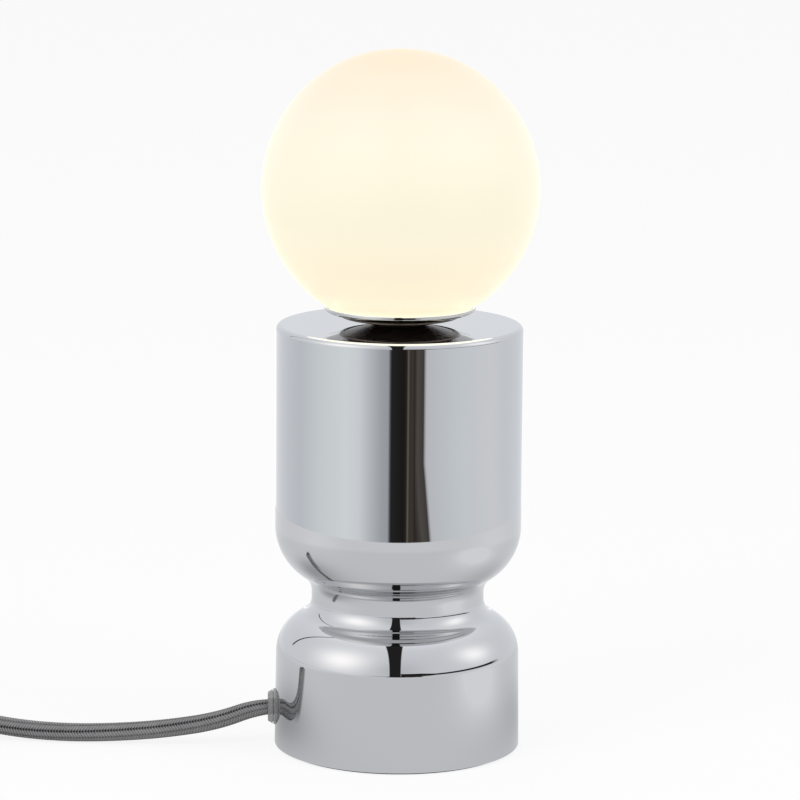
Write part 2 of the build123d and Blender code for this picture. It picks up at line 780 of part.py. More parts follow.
with BuildPart() as switch_lower:
    with BuildSketch(switch_plane):
        with Locations((middle, 0)):
            RectangleRounded(switch_length, switch_width, switch_corner)
    extrude(amount=switch_split)
    fillet(switch_lower.edges().group_by(Axis.Z)[0], switch_edge)
    with BuildSketch(switch_plane.offset(switch_wall)):
        with Locations((middle, 0)):
            RectangleRounded(pocket_length, pocket_width, switch_wall)
    extrude(amount=switch_split, mode=Mode.SUBTRACT)
    cord_holes()
    for spot in switch_screw_spots:
        with BuildSketch(switch_plane):
            with Locations(spot):
                Circle(switch_screw_head + running_gap)
        extrude(amount=switch_screw_head_height + body_gap, mode=Mode.SUBTRACT)
        with BuildSketch(switch_plane):
            with Locations(spot):
                Circle(switch_screw_radius + running_gap)
        extrude(amount=switch_split, mode=Mode.SUBTRACT)
switch_lower.part.label = "switch_lower"

pivot = switch_plane.from_local_coords(Vector(middle, 0, rocker_pivot_height))
side_plane = upright(switch_way, pivot)
boss_inner = rocker_width / 2 + body_gap
boss_height = switch_top - switch_wall - rocker_pivot_height
with BuildPart() as switch_upper:
    with BuildSketch(switch_plane.offset(switch_split)):
        with Locations((middle, 0)):
            RectangleRounded(switch_length, switch_width, switch_corner)
    extrude(amount=switch_top - switch_split)
    fillet(switch_upper.edges().group_by(Axis.Z)[-1], switch_edge)
    with BuildSketch(switch_plane.offset(switch_split)):
        with Locations((middle, 0)):
            RectangleRounded(pocket_length, pocket_width, switch_wall)
    extrude(amount=switch_top - switch_split - switch_wall, mode=Mode.SUBTRACT)
    with BuildSketch(switch_plane.offset(switch_top)):
        with Locations((middle, 0)):
            Rectangle(rocker_length + 2 * rocker_gap, rocker_width + 2 * body_gap)
    extrude(amount=-switch_wall, mode=Mode.SUBTRACT)
    with BuildSketch(switch_plane.offset(rocker_pivot_height - 2 * rocker_pin_radius)):
        with Locations((middle, boss_inner + rocker_boss / 2), (middle, -boss_inner - rocker_boss / 2)):
            Rectangle(4 * rocker_pin_radius, rocker_boss)
    extrude(amount=boss_height + 2 * rocker_pin_radius)
    with BuildSketch(side_plane):
        Circle(rocker_pin_radius + running_gap)
    extrude(amount=boss_inner + rocker_boss, both=True, mode=Mode.SUBTRACT)
    cord_holes()
    for spot in switch_screw_spots:
        with BuildSketch(switch_plane.offset(switch_split)):
            with Locations(spot):
                Circle(switch_screw_radius + running_gap)
        extrude(amount=switch_screw_length + switch_screw_head_height + body_gap - switch_split,
                mode=Mode.SUBTRACT)
switch_upper.part.label = "switch_upper"

# Rocker: a key with a dished top, drawn tilted to its off side
rocker_way = switch_way * cos(radians(rocker_tilt)) + Vector(0, 0, 1) * sin(radians(rocker_tilt))
with BuildPart() as switch_rocker:
    with BuildSketch(Plane(pivot, x_dir=rocker_way, z_dir=side_plane.z_dir)):
        half = rocker_length / 2
        with BuildLine():
            top = ThreePointArc((half, rocker_rise), (0, rocker_rise - rocker_dish), (-half, rocker_rise))
            left = Line(top @ 1, (-half, 0))
            keel = ThreePointArc(left @ 1, (0, -rocker_drop), (half, 0))
            Line(keel @ 1, top @ 0)
        make_face()
        Circle(rocker_pin_radius + running_gap, mode=Mode.SUBTRACT)
    extrude(amount=rocker_width / 2, both=True)
switch_rocker.part.label = "switch_rocker"

with BuildPart() as switch_pivot_pin:
    with BuildSketch(side_plane):
        Circle(rocker_pin_radius)
    extrude(amount=boss_inner + rocker_boss, both=True)
switch_pivot_pin.part.label = "switch_pivot_pin"

with BuildPart() as switch_screws:
    for spot in switch_screw_spots:
        seat = switch_plane.from_local_coords(Vector(spot[0], spot[1], switch_screw_head_height + body_gap))
        round_screw(Plane(seat, x_dir=(1, 0, 0), z_dir=(0, 0, -1)), switch_screw_head,
                    switch_screw_head_height, switch_screw_radius, switch_screw_length)
switch_screws.part.label = "switch_screws"

# Cord from the bush to the switch, resting on the table after a short fall
lead_in = switch_plane.from_local_coords(Vector(cord_entry, 0, switch_split))
lead_route = [
    tail_start,
    tail_start + cord_way * exit_run,
    (-66.0, -2.2, 9.3),
    (-84.0, -2.6, 5.8),
    (-102.0, -2.4, 4.2),
    (-121.0, -0.4, 3.4),
    (-139.0, 2.2, 4.0),
    lead_in - switch_way * switch_in_run,
    lead_in,
]
with BuildPart() as cord_lead:
    lead_length, radii = run_tube(lead_route, cord_diameter)
tell_tube("cord_lead", cord_lead.part, cord_diameter, lead_length, radii)
cord_lead.part.label = "cord_lead"

# Cord from the switch to the coil
link_out = switch_plane.from_local_coords(Vector(switch_length - cord_entry, 0, switch_split))
link_route = [
    link_out,
    link_out + switch_way * switch_out_run,
    (-241.0, -39.2, coil_low),
    (-252.0, -44.2, coil_low),
]
with BuildPart() as cord_link:
    link_length, radii = run_tube(link_route, cord_diameter)
tell_tube("cord_link", cord_link.part, cord_diameter, link_length, radii)
cord_link.part.label = "cord_link"

# Coil: clockwise in on the table, up a layer in the half turn at the middle, and out again.
# Its start is square to the link's last run.
coil_heading = (Vector(link_route[-1]) - Vector(link_route[-2])).normalized()
coil_start = Vector(link_route[-1]) + coil_heading * cord_diameter
coil_total = 2 * coil_turns + 0.5


def coil_shape(turns):
    # Radius and height after so many turns from the start
    if turns <= coil_turns:
        return coil_radius - coil_pitch * turns, coil_low
    if turns <= coil_turns + 0.5:
        u = (turns - coil_turns) / 0.5
        dip = coil_pitch * u * (1 - u) / 2
        rise = coil_rise * u * u * (3 - 2 * u)
        return coil_radius - coil_pitch * coil_turns - dip, coil_low + rise
    back = coil_total - turns
    return coil_radius - coil_pitch * back, coil_high


def coil_local(turns):
    # Place and heading on the coil about its own centre, for a clockwise run from angle zero
    radius, height = coil_shape(turns)
    angle = -2 * pi * turns
    return Vector(radius * cos(angle), radius * sin(angle), height)


def local_heading(turns):
    step = 1e-5
    low = max(turns - step, 0)
    high = min(turns + step, coil_total)
    return (coil_local(high) - coil_local(low)).normalized()


coil_turn = local_heading(0).get_signed_angle(coil_heading, Vector(0, 0, 1))
turned = Plane.XY.rotated((0, 0, coil_turn))
coil_centre = coil_start - turned.from_local_coords(coil_local(0))
coil_plane = Plane(coil_centre, x_dir=turned.x_dir, z_dir=(0, 0, 1))


def coil_point(turns):
    return coil_plane.from_local_coords(coil_local(turns))


def coil_way(turns):
    return coil_plane.from_local_coords(local_heading(turns)) - coil_plane.origin


def biarc(start, start_way, end, end_way):
    # Two arcs that leave start and reach end along the given ways, meeting in a common tangent
    chord = end - start
    both = start_way + end_way
    lack = 2 * (1 - start_way.dot(end_way))
    reach = (-chord.dot(both) + sqrt(chord.dot(both) ** 2 + lack * chord.dot(chord))) / lack
    before = start + start_way * reach
    after = end - end_way * reach
    meet = (before + after) / 2
    TangentArc(start, meet, tangent=start_way)
    TangentArc(meet, end, tangent=after - before)


coil_end = coil_point(coil_total)
coil_end_way = coil_way(coil_total)
quarters = 12
coil_marks = [coil_turns * k / quarters for k in range(quarters + 1)]
coil_marks += [coil_turns + 0.25, coil_turns + 0.5]
coil_marks += [coil_turns + 0.5 + coil_turns * k / quarters for k in range(1, quarters + 1)]
with BuildPart() as cord_coil:
    with BuildLine() as coil_path:
        Line(Vector(link_route[-1]), coil_start)
        for first, last in zip(coil_marks, coil_marks[1:]):
            biarc(coil_point(first), coil_way(first), coil_point(last), coil_way(last))
        Line(coil_end, coil_end + coil_end_way * cord_diameter)
    coil_wire = coil_path.wires()[0]
    with BuildSketch(Plane(Vector(link_route[-1]), z_dir=coil_heading)):
        Circle(cord_diameter / 2)
    sweep(path=coil_wire)
cord_coil.part.label = "cord_coil"
tell_tube("cord_coil", cord_coil.part, cord_diameter, coil_wire.length, [])
print("coil centre", coil_plane.origin, "turned", round(coil_turn, 2), "end", coil_end, coil_end_way)

sample_count = 1200
samples = [coil_point(coil_total * k / sample_count) for k in range(sample_count + 1)]
step_length = coil_wire.length / sample_count
apart = int(3 * cord_diameter / step_length)
least = min((samples[i] - samples[j]).length
            for i in range(0, sample_count + 1, 3) for j in range(i + apart, sample_count + 1))
print("coil turns", round(coil_total, 2), "least gap to itself", round(least - cord_diameter, 2))

# Tie round the coil's turns
tie_inner = coil_radius - coil_pitch * coil_turns - coil_pitch / 2 - cord_diameter / 2
tie_outer = coil_radius + cord_diameter / 2 + body_gap
tie_high = coil_high + cord_diameter / 2 + body_gap
tie_line = coil_plane.rotated((0, 0, tie_angle))
tie_plane = Plane(coil_plane.origin, x_dir=tie_line.x_dir, z_dir=tie_line.y_dir * -1)
with BuildPart() as cord_tie:
    with BuildSketch(tie_plane):
        with Locations(((tie_inner + tie_outer) / 2, (tie_high + tie_thickness) / 2)):
            RectangleRounded(tie_outer - tie_inner + 2 * tie_thickness, tie_high + tie_thickness,
                             cord_diameter / 2 + tie_thickness)
            RectangleRounded(tie_outer - tie_inner, tie_high - tie_thickness, cord_diameter / 2,
                             mode=Mode.SUBTRACT)
    extrude(amount=tie_width / 2, both=True)
cord_tie.part.label = "cord_tie"

# Cord from the coil to the plug
end_start = coil_end + coil_end_way * cord_diameter
plug_way = Vector(cos(radians(plug_angle)), sin(radians(plug_angle)), 0)
plug_start = end_start + coil_end_way * plug_ahead + plug_way * plug_aside
plug_plane = Plane(Vector(plug_start.X, plug_start.Y, 0), x_dir=plug_way, z_dir=(0, 0, 1))
plug_level = plug_thickness / 2
end_seat = plug_plane.from_local_coords(Vector(cord_entry, 0, plug_level))
end_before = plug_plane.from_local_coords(Vector(-plug_in_run, 0, plug_level))
end_rise = end_start + coil_end_way * coil_out_run
end_route = [end_start, end_rise, end_before, end_seat]
with BuildPart() as cord_end:
    end_length, radii = run_tube(end_route, cord_diameter)
tell_tube("cord_end", cord_end.part, cord_diameter, end_length, radii)
cord_end.part.label = "cord_end"

# Two-pin plug lying on its flat side
shoulder_at = plug_sleeve + plug_shoulder
face_at = plug_sleeve + plug_body_length
with BuildPart() as plug_body:
    with BuildSketch(plug_plane):
        with BuildLine():
            Polyline((plug_sleeve, -plug_neck / 2), (shoulder_at, -plug_width / 2), (face_at, -plug_width / 2),
                     (face_at, plug_width / 2), (shoulder_at, plug_width / 2), (plug_sleeve, plug_neck / 2),
                     close=True)
        make_face()
    extrude(amount=plug_thickness)
    fillet(plug_body.edges().filter_by(Axis.Z), plug_corner)
    fillet(plug_body.edges().group_by(Axis.Z)[0] + plug_body.edges().group_by(Axis.Z)[-1], plug_edge)
    sleeve_spot = plug_plane.from_local_coords(Vector(0, 0, plug_level))
    with BuildSketch(upright(plug_way, sleeve_spot)):
        with BuildLine():
            Polyline((0, 0), (0, plug_sleeve_nose), (plug_sleeve, plug_sleeve_radius),
                     (plug_sleeve + plug_edge, plug_sleeve_radius), (plug_sleeve + plug_edge, 0), close=True)
        make_face()
    revolve(axis=Axis(sleeve_spot, plug_way))
    with BuildSketch(Plane(sleeve_spot, z_dir=plug_way)):
        Circle(cord_diameter / 2 + running_gap)
    extrude(amount=cord_entry, mode=Mode.SUBTRACT)
plug_body.part.label = "plug_body"

with BuildPart() as plug_pins:
    for side in (1, -1):
        spot = plug_plane.from_local_coords(Vector(face_at, side * plug_pin_spread / 2, plug_level))
        with BuildSketch(Plane(spot, z_dir=plug_way)):
            Circle(plug_pin_radius)
        extrude(amount=plug_pin_length)
    fillet([edge for edge in plug_pins.edges()
            if (plug_plane.to_local_coords(edge.center()).X > face_at + plug_pin_length / 2
                and edge.geom_type == GeomType.CIRCLE)], plug_pin_tip)
plug_pins.part.label = "plug_pins"

named = [felt_pad, body_shell, base_plate, base_screws, ballast_weight, ballast_screws, cord_bush,
         cord_tail, cord_grip, cord_grip_screws, terminal_block, terminal_screws, live_core,
         neutral_core, live_wire, neutral_wire, nipple, nipple_washer, nipple_nut_lower,
         nipple_nut_upper, globe_gallery, globe_gasket, globe_shade, globe_clips, lampholder_bracket,
         lampholder_body, lampholder_screws, lampholder_contacts, bulb_base, bulb_pins, bulb_envelope,
         switch_lower, switch_upper, switch_rocker, switch_pivot_pin, switch_screws, cord_lead,
         cord_link, cord_coil, cord_tie, cord_end, plug_body, plug_pins]
for piece in named:
    export_step(piece.part, f"parts/{piece.part.label}.step")
cord_total = lead_length + switch_length + link_length + coil_wire.length + end_length
print("cord from the bush to the plug", round(cord_total, 0))
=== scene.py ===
import math

import bmesh
import bpy
import numpy as np
from mathutils import Matrix, Vector


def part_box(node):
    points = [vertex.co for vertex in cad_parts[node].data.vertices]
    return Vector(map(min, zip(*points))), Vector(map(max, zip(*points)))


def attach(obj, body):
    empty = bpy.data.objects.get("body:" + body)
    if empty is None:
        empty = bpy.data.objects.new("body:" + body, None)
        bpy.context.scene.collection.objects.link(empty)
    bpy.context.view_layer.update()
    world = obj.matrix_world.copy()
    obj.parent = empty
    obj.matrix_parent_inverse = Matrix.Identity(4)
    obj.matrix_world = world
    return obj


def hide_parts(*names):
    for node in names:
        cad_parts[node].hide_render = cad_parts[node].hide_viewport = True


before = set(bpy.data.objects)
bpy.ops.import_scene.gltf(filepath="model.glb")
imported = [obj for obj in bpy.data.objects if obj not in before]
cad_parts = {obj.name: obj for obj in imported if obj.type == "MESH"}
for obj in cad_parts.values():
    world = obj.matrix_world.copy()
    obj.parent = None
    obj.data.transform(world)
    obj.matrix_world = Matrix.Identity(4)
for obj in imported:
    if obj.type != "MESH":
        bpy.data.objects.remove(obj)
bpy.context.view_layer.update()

mm = 0.001
up = np.array((0.0, 0.0, 1.0))


# Camera, at the place and angle that the photograph was taken from

view = {
    "distance": 1.41654,
    "height": 0.38995,
    "pitch": 10.16,
    "roll": 0.458,
    "lens": 178.15,
    "sensor": 36.0,
    "shift": (0.00086, -0.025),
}


def placeCamera():
    lensData = bpy.data.cameras.new("photoCamera")
    lensData.lens = view["lens"]
    lensData.sensor_width = view["sensor"]
    lensData.shift_x, lensData.shift_y = view["shift"]
    lensData.clip_start = 0.05
    lensData.clip_end = 60.0
    camera = bpy.data.objects.new("photoCamera", lensData)
    bpy.context.scene.collection.objects.link(camera)
    tilt = Matrix.Rotation(math.radians(90 - view["pitch"]), 4, "X")
    turn = Matrix.Rotation(math.radians(view["roll"]), 4, "Z")
    camera.matrix_world = Matrix.Translation((0, -view["distance"], view["height"])) @ tilt @ turn
    bpy.context.scene.camera = camera


placeCamera()
print("camera placed")


# Shader building: outputs that can be summed, and one method that makes any node

class Flow:
    def __init__(self, finish, socket):
        self.finish = finish
        self.socket = socket

    def maths(self, operation, other=0.0):
        # Operations on one value leave the other unused
        return self.finish.node("ShaderNodeMath", {"operation": operation}, {0: self, 1: other})

    def __add__(self, other):
        return self.maths("ADD", other)

    __radd__ = __add__

    def __sub__(self, other):
        return self.maths("SUBTRACT", other)

    def __rsub__(self, other):
        return self.finish.node("ShaderNodeMath", {"operation": "SUBTRACT"}, {0: other, 1: self})

    def __mul__(self, other):
        return self.maths("MULTIPLY", other)

    __rmul__ = __mul__

    def __truediv__(self, other):
        return self.maths("DIVIDE", other)

    def __pow__(self, other):
        return self.maths("POWER", other)


class Finish:
    # A node tree under construction, for a material or for the world
    def __init__(self, owner):
        owner.use_nodes = True
        self.owner = owner
        self.tree = owner.node_tree
        self.tree.nodes.clear()

    def node(self, kind, settings=None, inputs=None, out=0):
        made = self.tree.nodes.new(kind)
        for key, value in (settings or {}).items():
            if key == "stops":
                self.setStops(made.color_ramp, value)
            else:
                setattr(made, key, value)
        for key, value in (inputs or {}).items():
            socket = made.inputs[key]
            if isinstance(value, Flow):
                self.tree.links.new(value.socket, socket)
            elif socket.type == "RGBA":
                socket.default_value = (*value, 1)
            else:
                socket.default_value = value
        return Flow(self, made.outputs[out]) if made.outputs else None

    def setStops(self, ramp, stops):
        while len(ramp.elements) > 1:
            ramp.elements.remove(ramp.elements[0])
        ramp.elements[0].position = stops[0][0]
        ramp.elements[0].color = (*stops[0][1], 1)
        for place, colour in stops[1:]:
            ramp.elements.new(place).color = (*colour, 1)

    def parts(self, vector):
        # The three components of a vector
        split = self.node("ShaderNodeSeparateXYZ", {}, {0: vector}).socket.node
        return [Flow(self, split.outputs[k]) for k in range(3)]

    def rays(self):
        # Whether a ray comes from the camera, off a mirror, or through glass
        names = ("Is Camera Ray", "Is Glossy Ray", "Is Transmission Ray")
        path = self.node("ShaderNodeLightPath").socket.node
        return [Flow(self, path.outputs[name]) for name in names]

    def soft(self, value, width):
        # Nought to one across a soft edge of this width
        return self.clamp(value / width + 0.5)

    def between(self, value, low, high, lowSoft, highSoft):
        # One between two limits, with a soft edge at each
        return self.soft(value - low, lowSoft) * self.soft(high - value, highSoft)

    def lobe(self, here, centre, reach):
        # One at the centre of a smooth spot, falling to a third at its reach
        away = self.node("ShaderNodeVectorMath", {"operation": "DISTANCE"}, {0: here, 1: centre}, out=1)
        return (away * away * (-1 / reach ** 2)).maths("EXPONENT")

    def clamp(self, value, low=0.0, high=1.0):
        return self.node("ShaderNodeClamp", {}, {"Value": value, "Min": low, "Max": high})

    def blend(self, factor, first, second, kind="MIX"):
        return self.node("ShaderNodeMix", {"data_type": "RGBA", "blend_type": kind},
                         {0: factor, 6: first, 7: second}, out=2)

    def add(self, factor, first, second):
        # The first colour with a share of the second added
        return self.blend(factor, first, second, "ADD")

    def place(self, stretch=(1, 1, 1)):
        here = self.node("ShaderNodeTexCoord", out=3)
        return self.node("ShaderNodeMapping", {}, {"Vector": here, "Scale": stretch})

    def noise(self, size, detail=3.0, stretch=(1, 1, 1), rough=0.55):
        return self.node("ShaderNodeTexNoise", {}, {
            "Vector": self.place(stretch), "Scale": 1 / size, "Detail": detail, "Roughness": rough})

    def bump(self, height, distance, strength):
        return self.node("ShaderNodeBump", {}, {
            "Height": height, "Distance": distance, "Strength": strength})

    def close(self, shader, kind="ShaderNodeOutputMaterial"):
        self.node(kind, {}, {"Surface": shader})
        return self.owner


def startFinish(name):
    return Finish(bpy.data.materials.new(name))


def principled(finish, **sockets):
    values = {key.replace("_", " "): value for key, value in sockets.items()}
    return finish.close(finish.node("ShaderNodeBsdfPrincipled", {}, values))


# Mesh building: surfaces worked out on grids

def gridFaces(rows, columns, closeRows=False):
    # Four-cornered faces of a grid of points: each row is a ring, and the rows may close to a ring too
    down = np.arange(rows if closeRows else rows - 1)
    row, column = np.meshgrid(down, np.arange(columns), indexing="ij")
    nextRow = (row + 1) % rows
    nextColumn = (column + 1) % columns
    corners = (row * columns + column, row * columns + nextColumn,
               nextRow * columns + nextColumn, nextRow * columns + column)
    return np.stack([corner.ravel() for corner in corners], axis=1)


def makeMesh(name, points, faces, uv=None):
    # Whole arrays into a mesh; uv holds a pair for each corner of each face
    mesh = bpy.data.meshes.new(name)
    mesh.vertices.add(len(points))
    mesh.vertices.foreach_set("co", np.asarray(points, dtype=np.float32).ravel())
    mesh.loops.add(faces.size)
    mesh.loops.foreach_set("vertex_index", faces.astype(np.int32).ravel())
    mesh.polygons.add(len(faces))
    mesh.polygons.foreach_set("loop_start", np.arange(0, faces.size, faces.shape[1], dtype=np.int32))
    mesh.update(calc_edges=True)
    mesh.polygons.foreach_set("use_smooth", np.ones(len(faces), dtype=bool))
    if uv is not None:
        layer = mesh.uv_layers.new(name="along")
        layer.data.foreach_set("uv", np.asarray(uv, dtype=np.float32).ravel())
    mesh.validate()
    return mesh


def addPiece(name, mesh, material, body="root", replaced=()):
    piece = bpy.data.objects.new(name, mesh)
    bpy.context.scene.collection.objects.link(piece)
    mesh.materials.append(material)
    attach(piece, body)
    if replaced:
        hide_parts(*replaced)
    return piece


def reworked(mesh, work):
    # A change to the whole mesh, after which its faces are turned outwards
    loose = bmesh.new()
    loose.from_mesh(mesh)
    work(loose)
    bmesh.ops.recalc_face_normals(loose, faces=loose.faces)
    loose.to_mesh(mesh)
    loose.free()


def weld(mesh, sharp):
    # Merge the doubled points of poles and seams, and mark the sharp edges
    near = 1e-6
    reworked(mesh, lambda loose: bmesh.ops.remove_doubles(loose, verts=loose.verts, dist=near))
    mesh.set_sharp_from_angle(angle=math.radians(sharp))


def capEnds(mesh):
    # A flat face over each open end
    reworked(mesh, lambda loose: bmesh.ops.holes_fill(
        loose, edges=[edge for edge in loose.edges if edge.is_boundary], sides=0))


def turned(name, profile, segments, way=up, origin=(0, 0, 0), sharp=40):
    # A closed profile of (radius, height) pairs carried round an axis: each point is the origin, plus
    # the radius times a ring of cosines and sines, plus the height along the axis
    side = np.array((1.0, 0.0, 0.0)) if way is up else np.cross(up, way)
    other = np.cross(way, side)
    turn = np.linspace(0, 2 * math.pi, segments, endpoint=False)
    ring = np.outer(np.cos(turn), side) + np.outer(np.sin(turn), other)
    radius, height = np.asarray(profile).T
    points = np.asarray(origin) + radius[:, None, None] * ring[None] + height[:, None, None] * way
    mesh = makeMesh(name, points.reshape(-1, 3), gridFaces(len(radius), segments, closeRows=True))
    weld(mesh, sharp)
    return mesh


def arcRun(centre, radius, first, last, count):
    # Points of a circle between two angles in degrees
    angles = np.radians(np.linspace(first, last, count))
    return np.column_stack((centre[0] + radius * np.cos(angles), centre[1] + radius * np.sin(angles)))


def softCorners(corners, radius):
    # A closed outline whose every corner is a parabola, (1-t)^2 start + 2t(1-t) corner + t^2 end,
    # reaching as far along both sides as an arc of the radius would, or less where a side is short
    shortest, points = 0.45, 5
    corners = np.asarray(corners, dtype=float)
    run = []
    for before, here, after in zip(np.roll(corners, 1, axis=0), corners, np.roll(corners, -1, axis=0)):
        toBefore = (before - here) / np.linalg.norm(before - here)
        toAfter = (after - here) / np.linalg.norm(after - here)
        half = math.acos(np.clip(toBefore @ toAfter, -1, 1)) / 2
        reach = min(radius / math.tan(half),
                    shortest * np.linalg.norm(before - here), shortest * np.linalg.norm(after - here))
        share = np.linspace(0, 1, points)[:, None]
        start = here + toBefore * reach
        end = here + toAfter * reach
        run.append((1 - share) ** 2 * start + 2 * share * (1 - share) * here + share ** 2 * end)
    return np.concatenate(run)


# Cord: one grey braided lead, its line first, because the stage depends on it

cord = {
    "diameter": 6.8 * mm,
    "heightAtExit": 14.1 * mm,
    "exitAngle": 183.0,
    "exitRadius": 47.5 * mm,
    "tailOuter": 43.0 * mm,
    "wide": 3.4 * mm,
    "narrow": 3.22 * mm,
    "groove": 0.10 * mm,
    "grooveWidth": 0.30,
    "rows": 8,
    "yarnInShade": (0.018, 0.018, 0.019),
    "paleYarn": (0.44, 0.44, 0.45),
    "fuzz": 0.35 * mm,
    "cloud": 9 * mm,
    "yarnRelief": 0.15 * mm,
    "ribPitch": 1.05 * mm,
    "ribSlant": 1.3,
    "ribRelief": 0.10 * mm,
    "twistAtExit": 40.0,
    "twistPerMetre": 400.0,
    "squeeze": 0.16,
    "squeezeFrom": 4.5 * mm,
    "squeezeReach": 9.0 * mm,
    "resolution": 16,
    "leadStep": 0.22 * mm,
    "leadAround": 128,
    "coilNarrow": 3.25 * mm,
    "coilTwist": 90.0,
    "coilTwistPerMetre": 200.0,
    "coilStep": 0.9 * mm,
    "coilAround": 32,
}
switchBox = {
    "start": np.array((-166.0, -3.5)) * mm,
    "angle": 205.0,
    "length": 62.0 * mm,
    "split": 6.6 * mm,
    "entry": 4.0 * mm,
    "before": 16.0 * mm,
    "after": 12.0 * mm,
}
coil = {
    "nudge": 1e-5,  # share of a turn over which a heading is read
    "low": 4.5 * mm,
    "rise": 7.45 * mm,
    "radius": 48.2 * mm,
    "pitch": 7.4 * mm,
    "turns": 3.0486,
    "pointsPerTurn": 24,
}
plugPlace = {
    "angle": -9.0,
    "level": 6.85 * mm,
    "entry": 4.0 * mm,
    "after": 9.0 * mm,
    "before": 6.0 * mm,
    "ahead": 18.0 * mm,
    "aside": 20.0 * mm,
}


def levelWay(angle):
    return np.array((math.cos(math.radians(angle)), math.sin(math.radians(angle)), 0.0))


cordWay = levelWay(cord["exitAngle"])
switchWay = levelWay(switchBox["angle"])
switchFoot = np.array((*switchBox["start"], 0.0))
leadIn = switchFoot + switchWay * switchBox["entry"] + up * switchBox["split"]
linkOut = switchFoot + switchWay * (switchBox["length"] - switchBox["entry"]) + up * switchBox["split"]
tailStart = cordWay * cord["tailOuter"] + up * cord["heightAtExit"]

leadRoute = [
    tailStart,
    tailStart + cordWay * 8.0 * mm,
    np.array((-66.0, -3.9, 8.7)) * mm,
    np.array((-84.0, -3.4, 5.6)) * mm,
    np.array((-102.0, -3.0, 4.0)) * mm,
    np.array((-121.0, -2.2, 3.4)) * mm,
    np.array((-139.0, 0.4, 4.0)) * mm,
    leadIn - switchWay * switchBox["before"],
    leadIn,
]
linkRoute = [
    linkOut,
    linkOut + switchWay * switchBox["after"],
    np.array((-241.0, -39.2, 4.5)) * mm,
    np.array((-252.0, -44.2, 4.5)) * mm,
]


def coilShape(turns):
    # Radius and height: a steady spiral in, a climb over half a turn, and a steady spiral out again
    inward = coil["radius"] - coil["pitch"] * turns
    climb = np.clip((turns - coil["turns"]) / 0.5, 0, 1)
    dip = coil["pitch"] * climb * (1 - climb) / 2
    back = 2 * coil["turns"] + 0.5 - turns
    outward = coil["radius"] - coil["pitch"] * back
    level = coil["radius"] - coil["pitch"] * coil["turns"] - dip
    radius = np.where(turns <= coil["turns"], inward, np.where(climb < 1, level, outward))
    return radius, coil["low"] + coil["rise"] * climb ** 2 * (3 - 2 * climb)


def coilLocal(turns):
    # The spiral about its own centre, run clockwise from angle zero
    radius, height = coilShape(turns)
    angle = -2 * math.pi * turns
    return np.stack((radius * np.cos(angle), radius * np.sin(angle), height), axis=-1)


def coilRoute():
    # The spiral turned and moved so that it starts in line with the cord that comes to it
    total = 2 * coil["turns"] + 0.5
    heading = (linkRoute[-1] - linkRoute[-2]) / np.linalg.norm(linkRoute[-1] - linkRoute[-2])
    start = linkRoute[-1] + heading * cord["diameter"]
    first = coilLocal(np.array((0.0, coil["nudge"])))
    along = first[1] - first[0]
    turn = math.atan2(heading[1], heading[0]) - math.atan2(along[1], along[0])
    cosine, sine = math.cos(turn), math.sin(turn)
    spin = np.array(((cosine, -sine, 0), (sine, cosine, 0), (0, 0, 1)))
    marks = np.linspace(0, total, int(total * coil["pointsPerTurn"]) + 1)
    local = coilLocal(marks) @ spin.T
    shift = start - local[0]
    shift[2] = 0
    ends = coilLocal(np.array((total - coil["nudge"], total))) @ spin.T
    leave = (ends[1] - ends[0]) / np.linalg.norm(ends[1] - ends[0])
    return local + shift, leave


coilPoints, coilLeave = coilRoute()
plugWay = levelWay(plugPlace["angle"])
endStart = coilPoints[-1] + coilLeave * cord["diameter"]
plugStart = endStart + coilLeave * plugPlace["ahead"] + plugWay * plugPlace["aside"]
plugStart[2] = plugPlace["level"]
endRoute = [
    endStart,
    endStart + coilLeave * plugPlace["after"],
    plugStart - plugWay * plugPlace["before"],
    plugStart + plugWay * plugPlace["entry"],
]


def splineLine(name, route):
    # The route's own smooth NURBS line, read back as points
    curve = bpy.data.curves.new(name, "CURVE")
    curve.dimensions = "3D"
    spline = curve.splines.new("NURBS")
    spline.points.add(len(route) - 1)
    spline.points.foreach_set("co", np.column_stack((np.asarray(route), np.ones(len(route)))).ravel())
    spline.order_u = 3
    spline.use_endpoint_u = True
    spline.resolution_u = cord["resolution"]
    holder = bpy.data.objects.new(name, curve)
    bpy.context.scene.collection.objects.link(holder)
    line = bpy.data.meshes.new_from_object(holder)
    points = np.empty(len(line.vertices) * 3)
    line.vertices.foreach_get("co", points)
    bpy.data.meshes.remove(line)
    bpy.data.objects.remove(holder)
    bpy.data.curves.remove(curve)
    return points.reshape(-1, 3)


def evenSteps(line, step):
    # The same line in equal steps, with the distance of each point from the start
    gaps = np.linalg.norm(np.diff(line, axis=0), axis=1)
    along = np.concatenate(((0,), np.cumsum(gaps)))
    marks = np.linspace(0, along[-1], int(along[-1] / step) + 1)
    return np.stack([np.interp(marks, along, line[:, k]) for k in range(3)], axis=1), marks


def lineFrames(line):
    # Side and rise of each point of a line that never stands upright
    heading = np.gradient(line, axis=0)
    heading /= np.linalg.norm(heading, axis=1)[:, None]
    side = np.cross(heading, up)
    side /= np.linalg.norm(side, axis=1)[:, None]
    return side, np.cross(side, heading)


def braidRibs(angle, marks):
    # Rows along the cord, crossed by ribs that lean one way in one row and the other way in the next
    row = angle * cord["rows"] / (2 * math.pi)
    place = row % 1 - 0.5
    hand = 1 - 2 * (np.floor(row) % 2)
    rib = 0.5 + 0.5 * np.cos(2 * math.pi * (marks / cord["ribPitch"] + hand * cord["ribSlant"] * place))
    return (1 - (2 * place) ** 4 * 0.7) * (0.4 + 0.6 * rib)


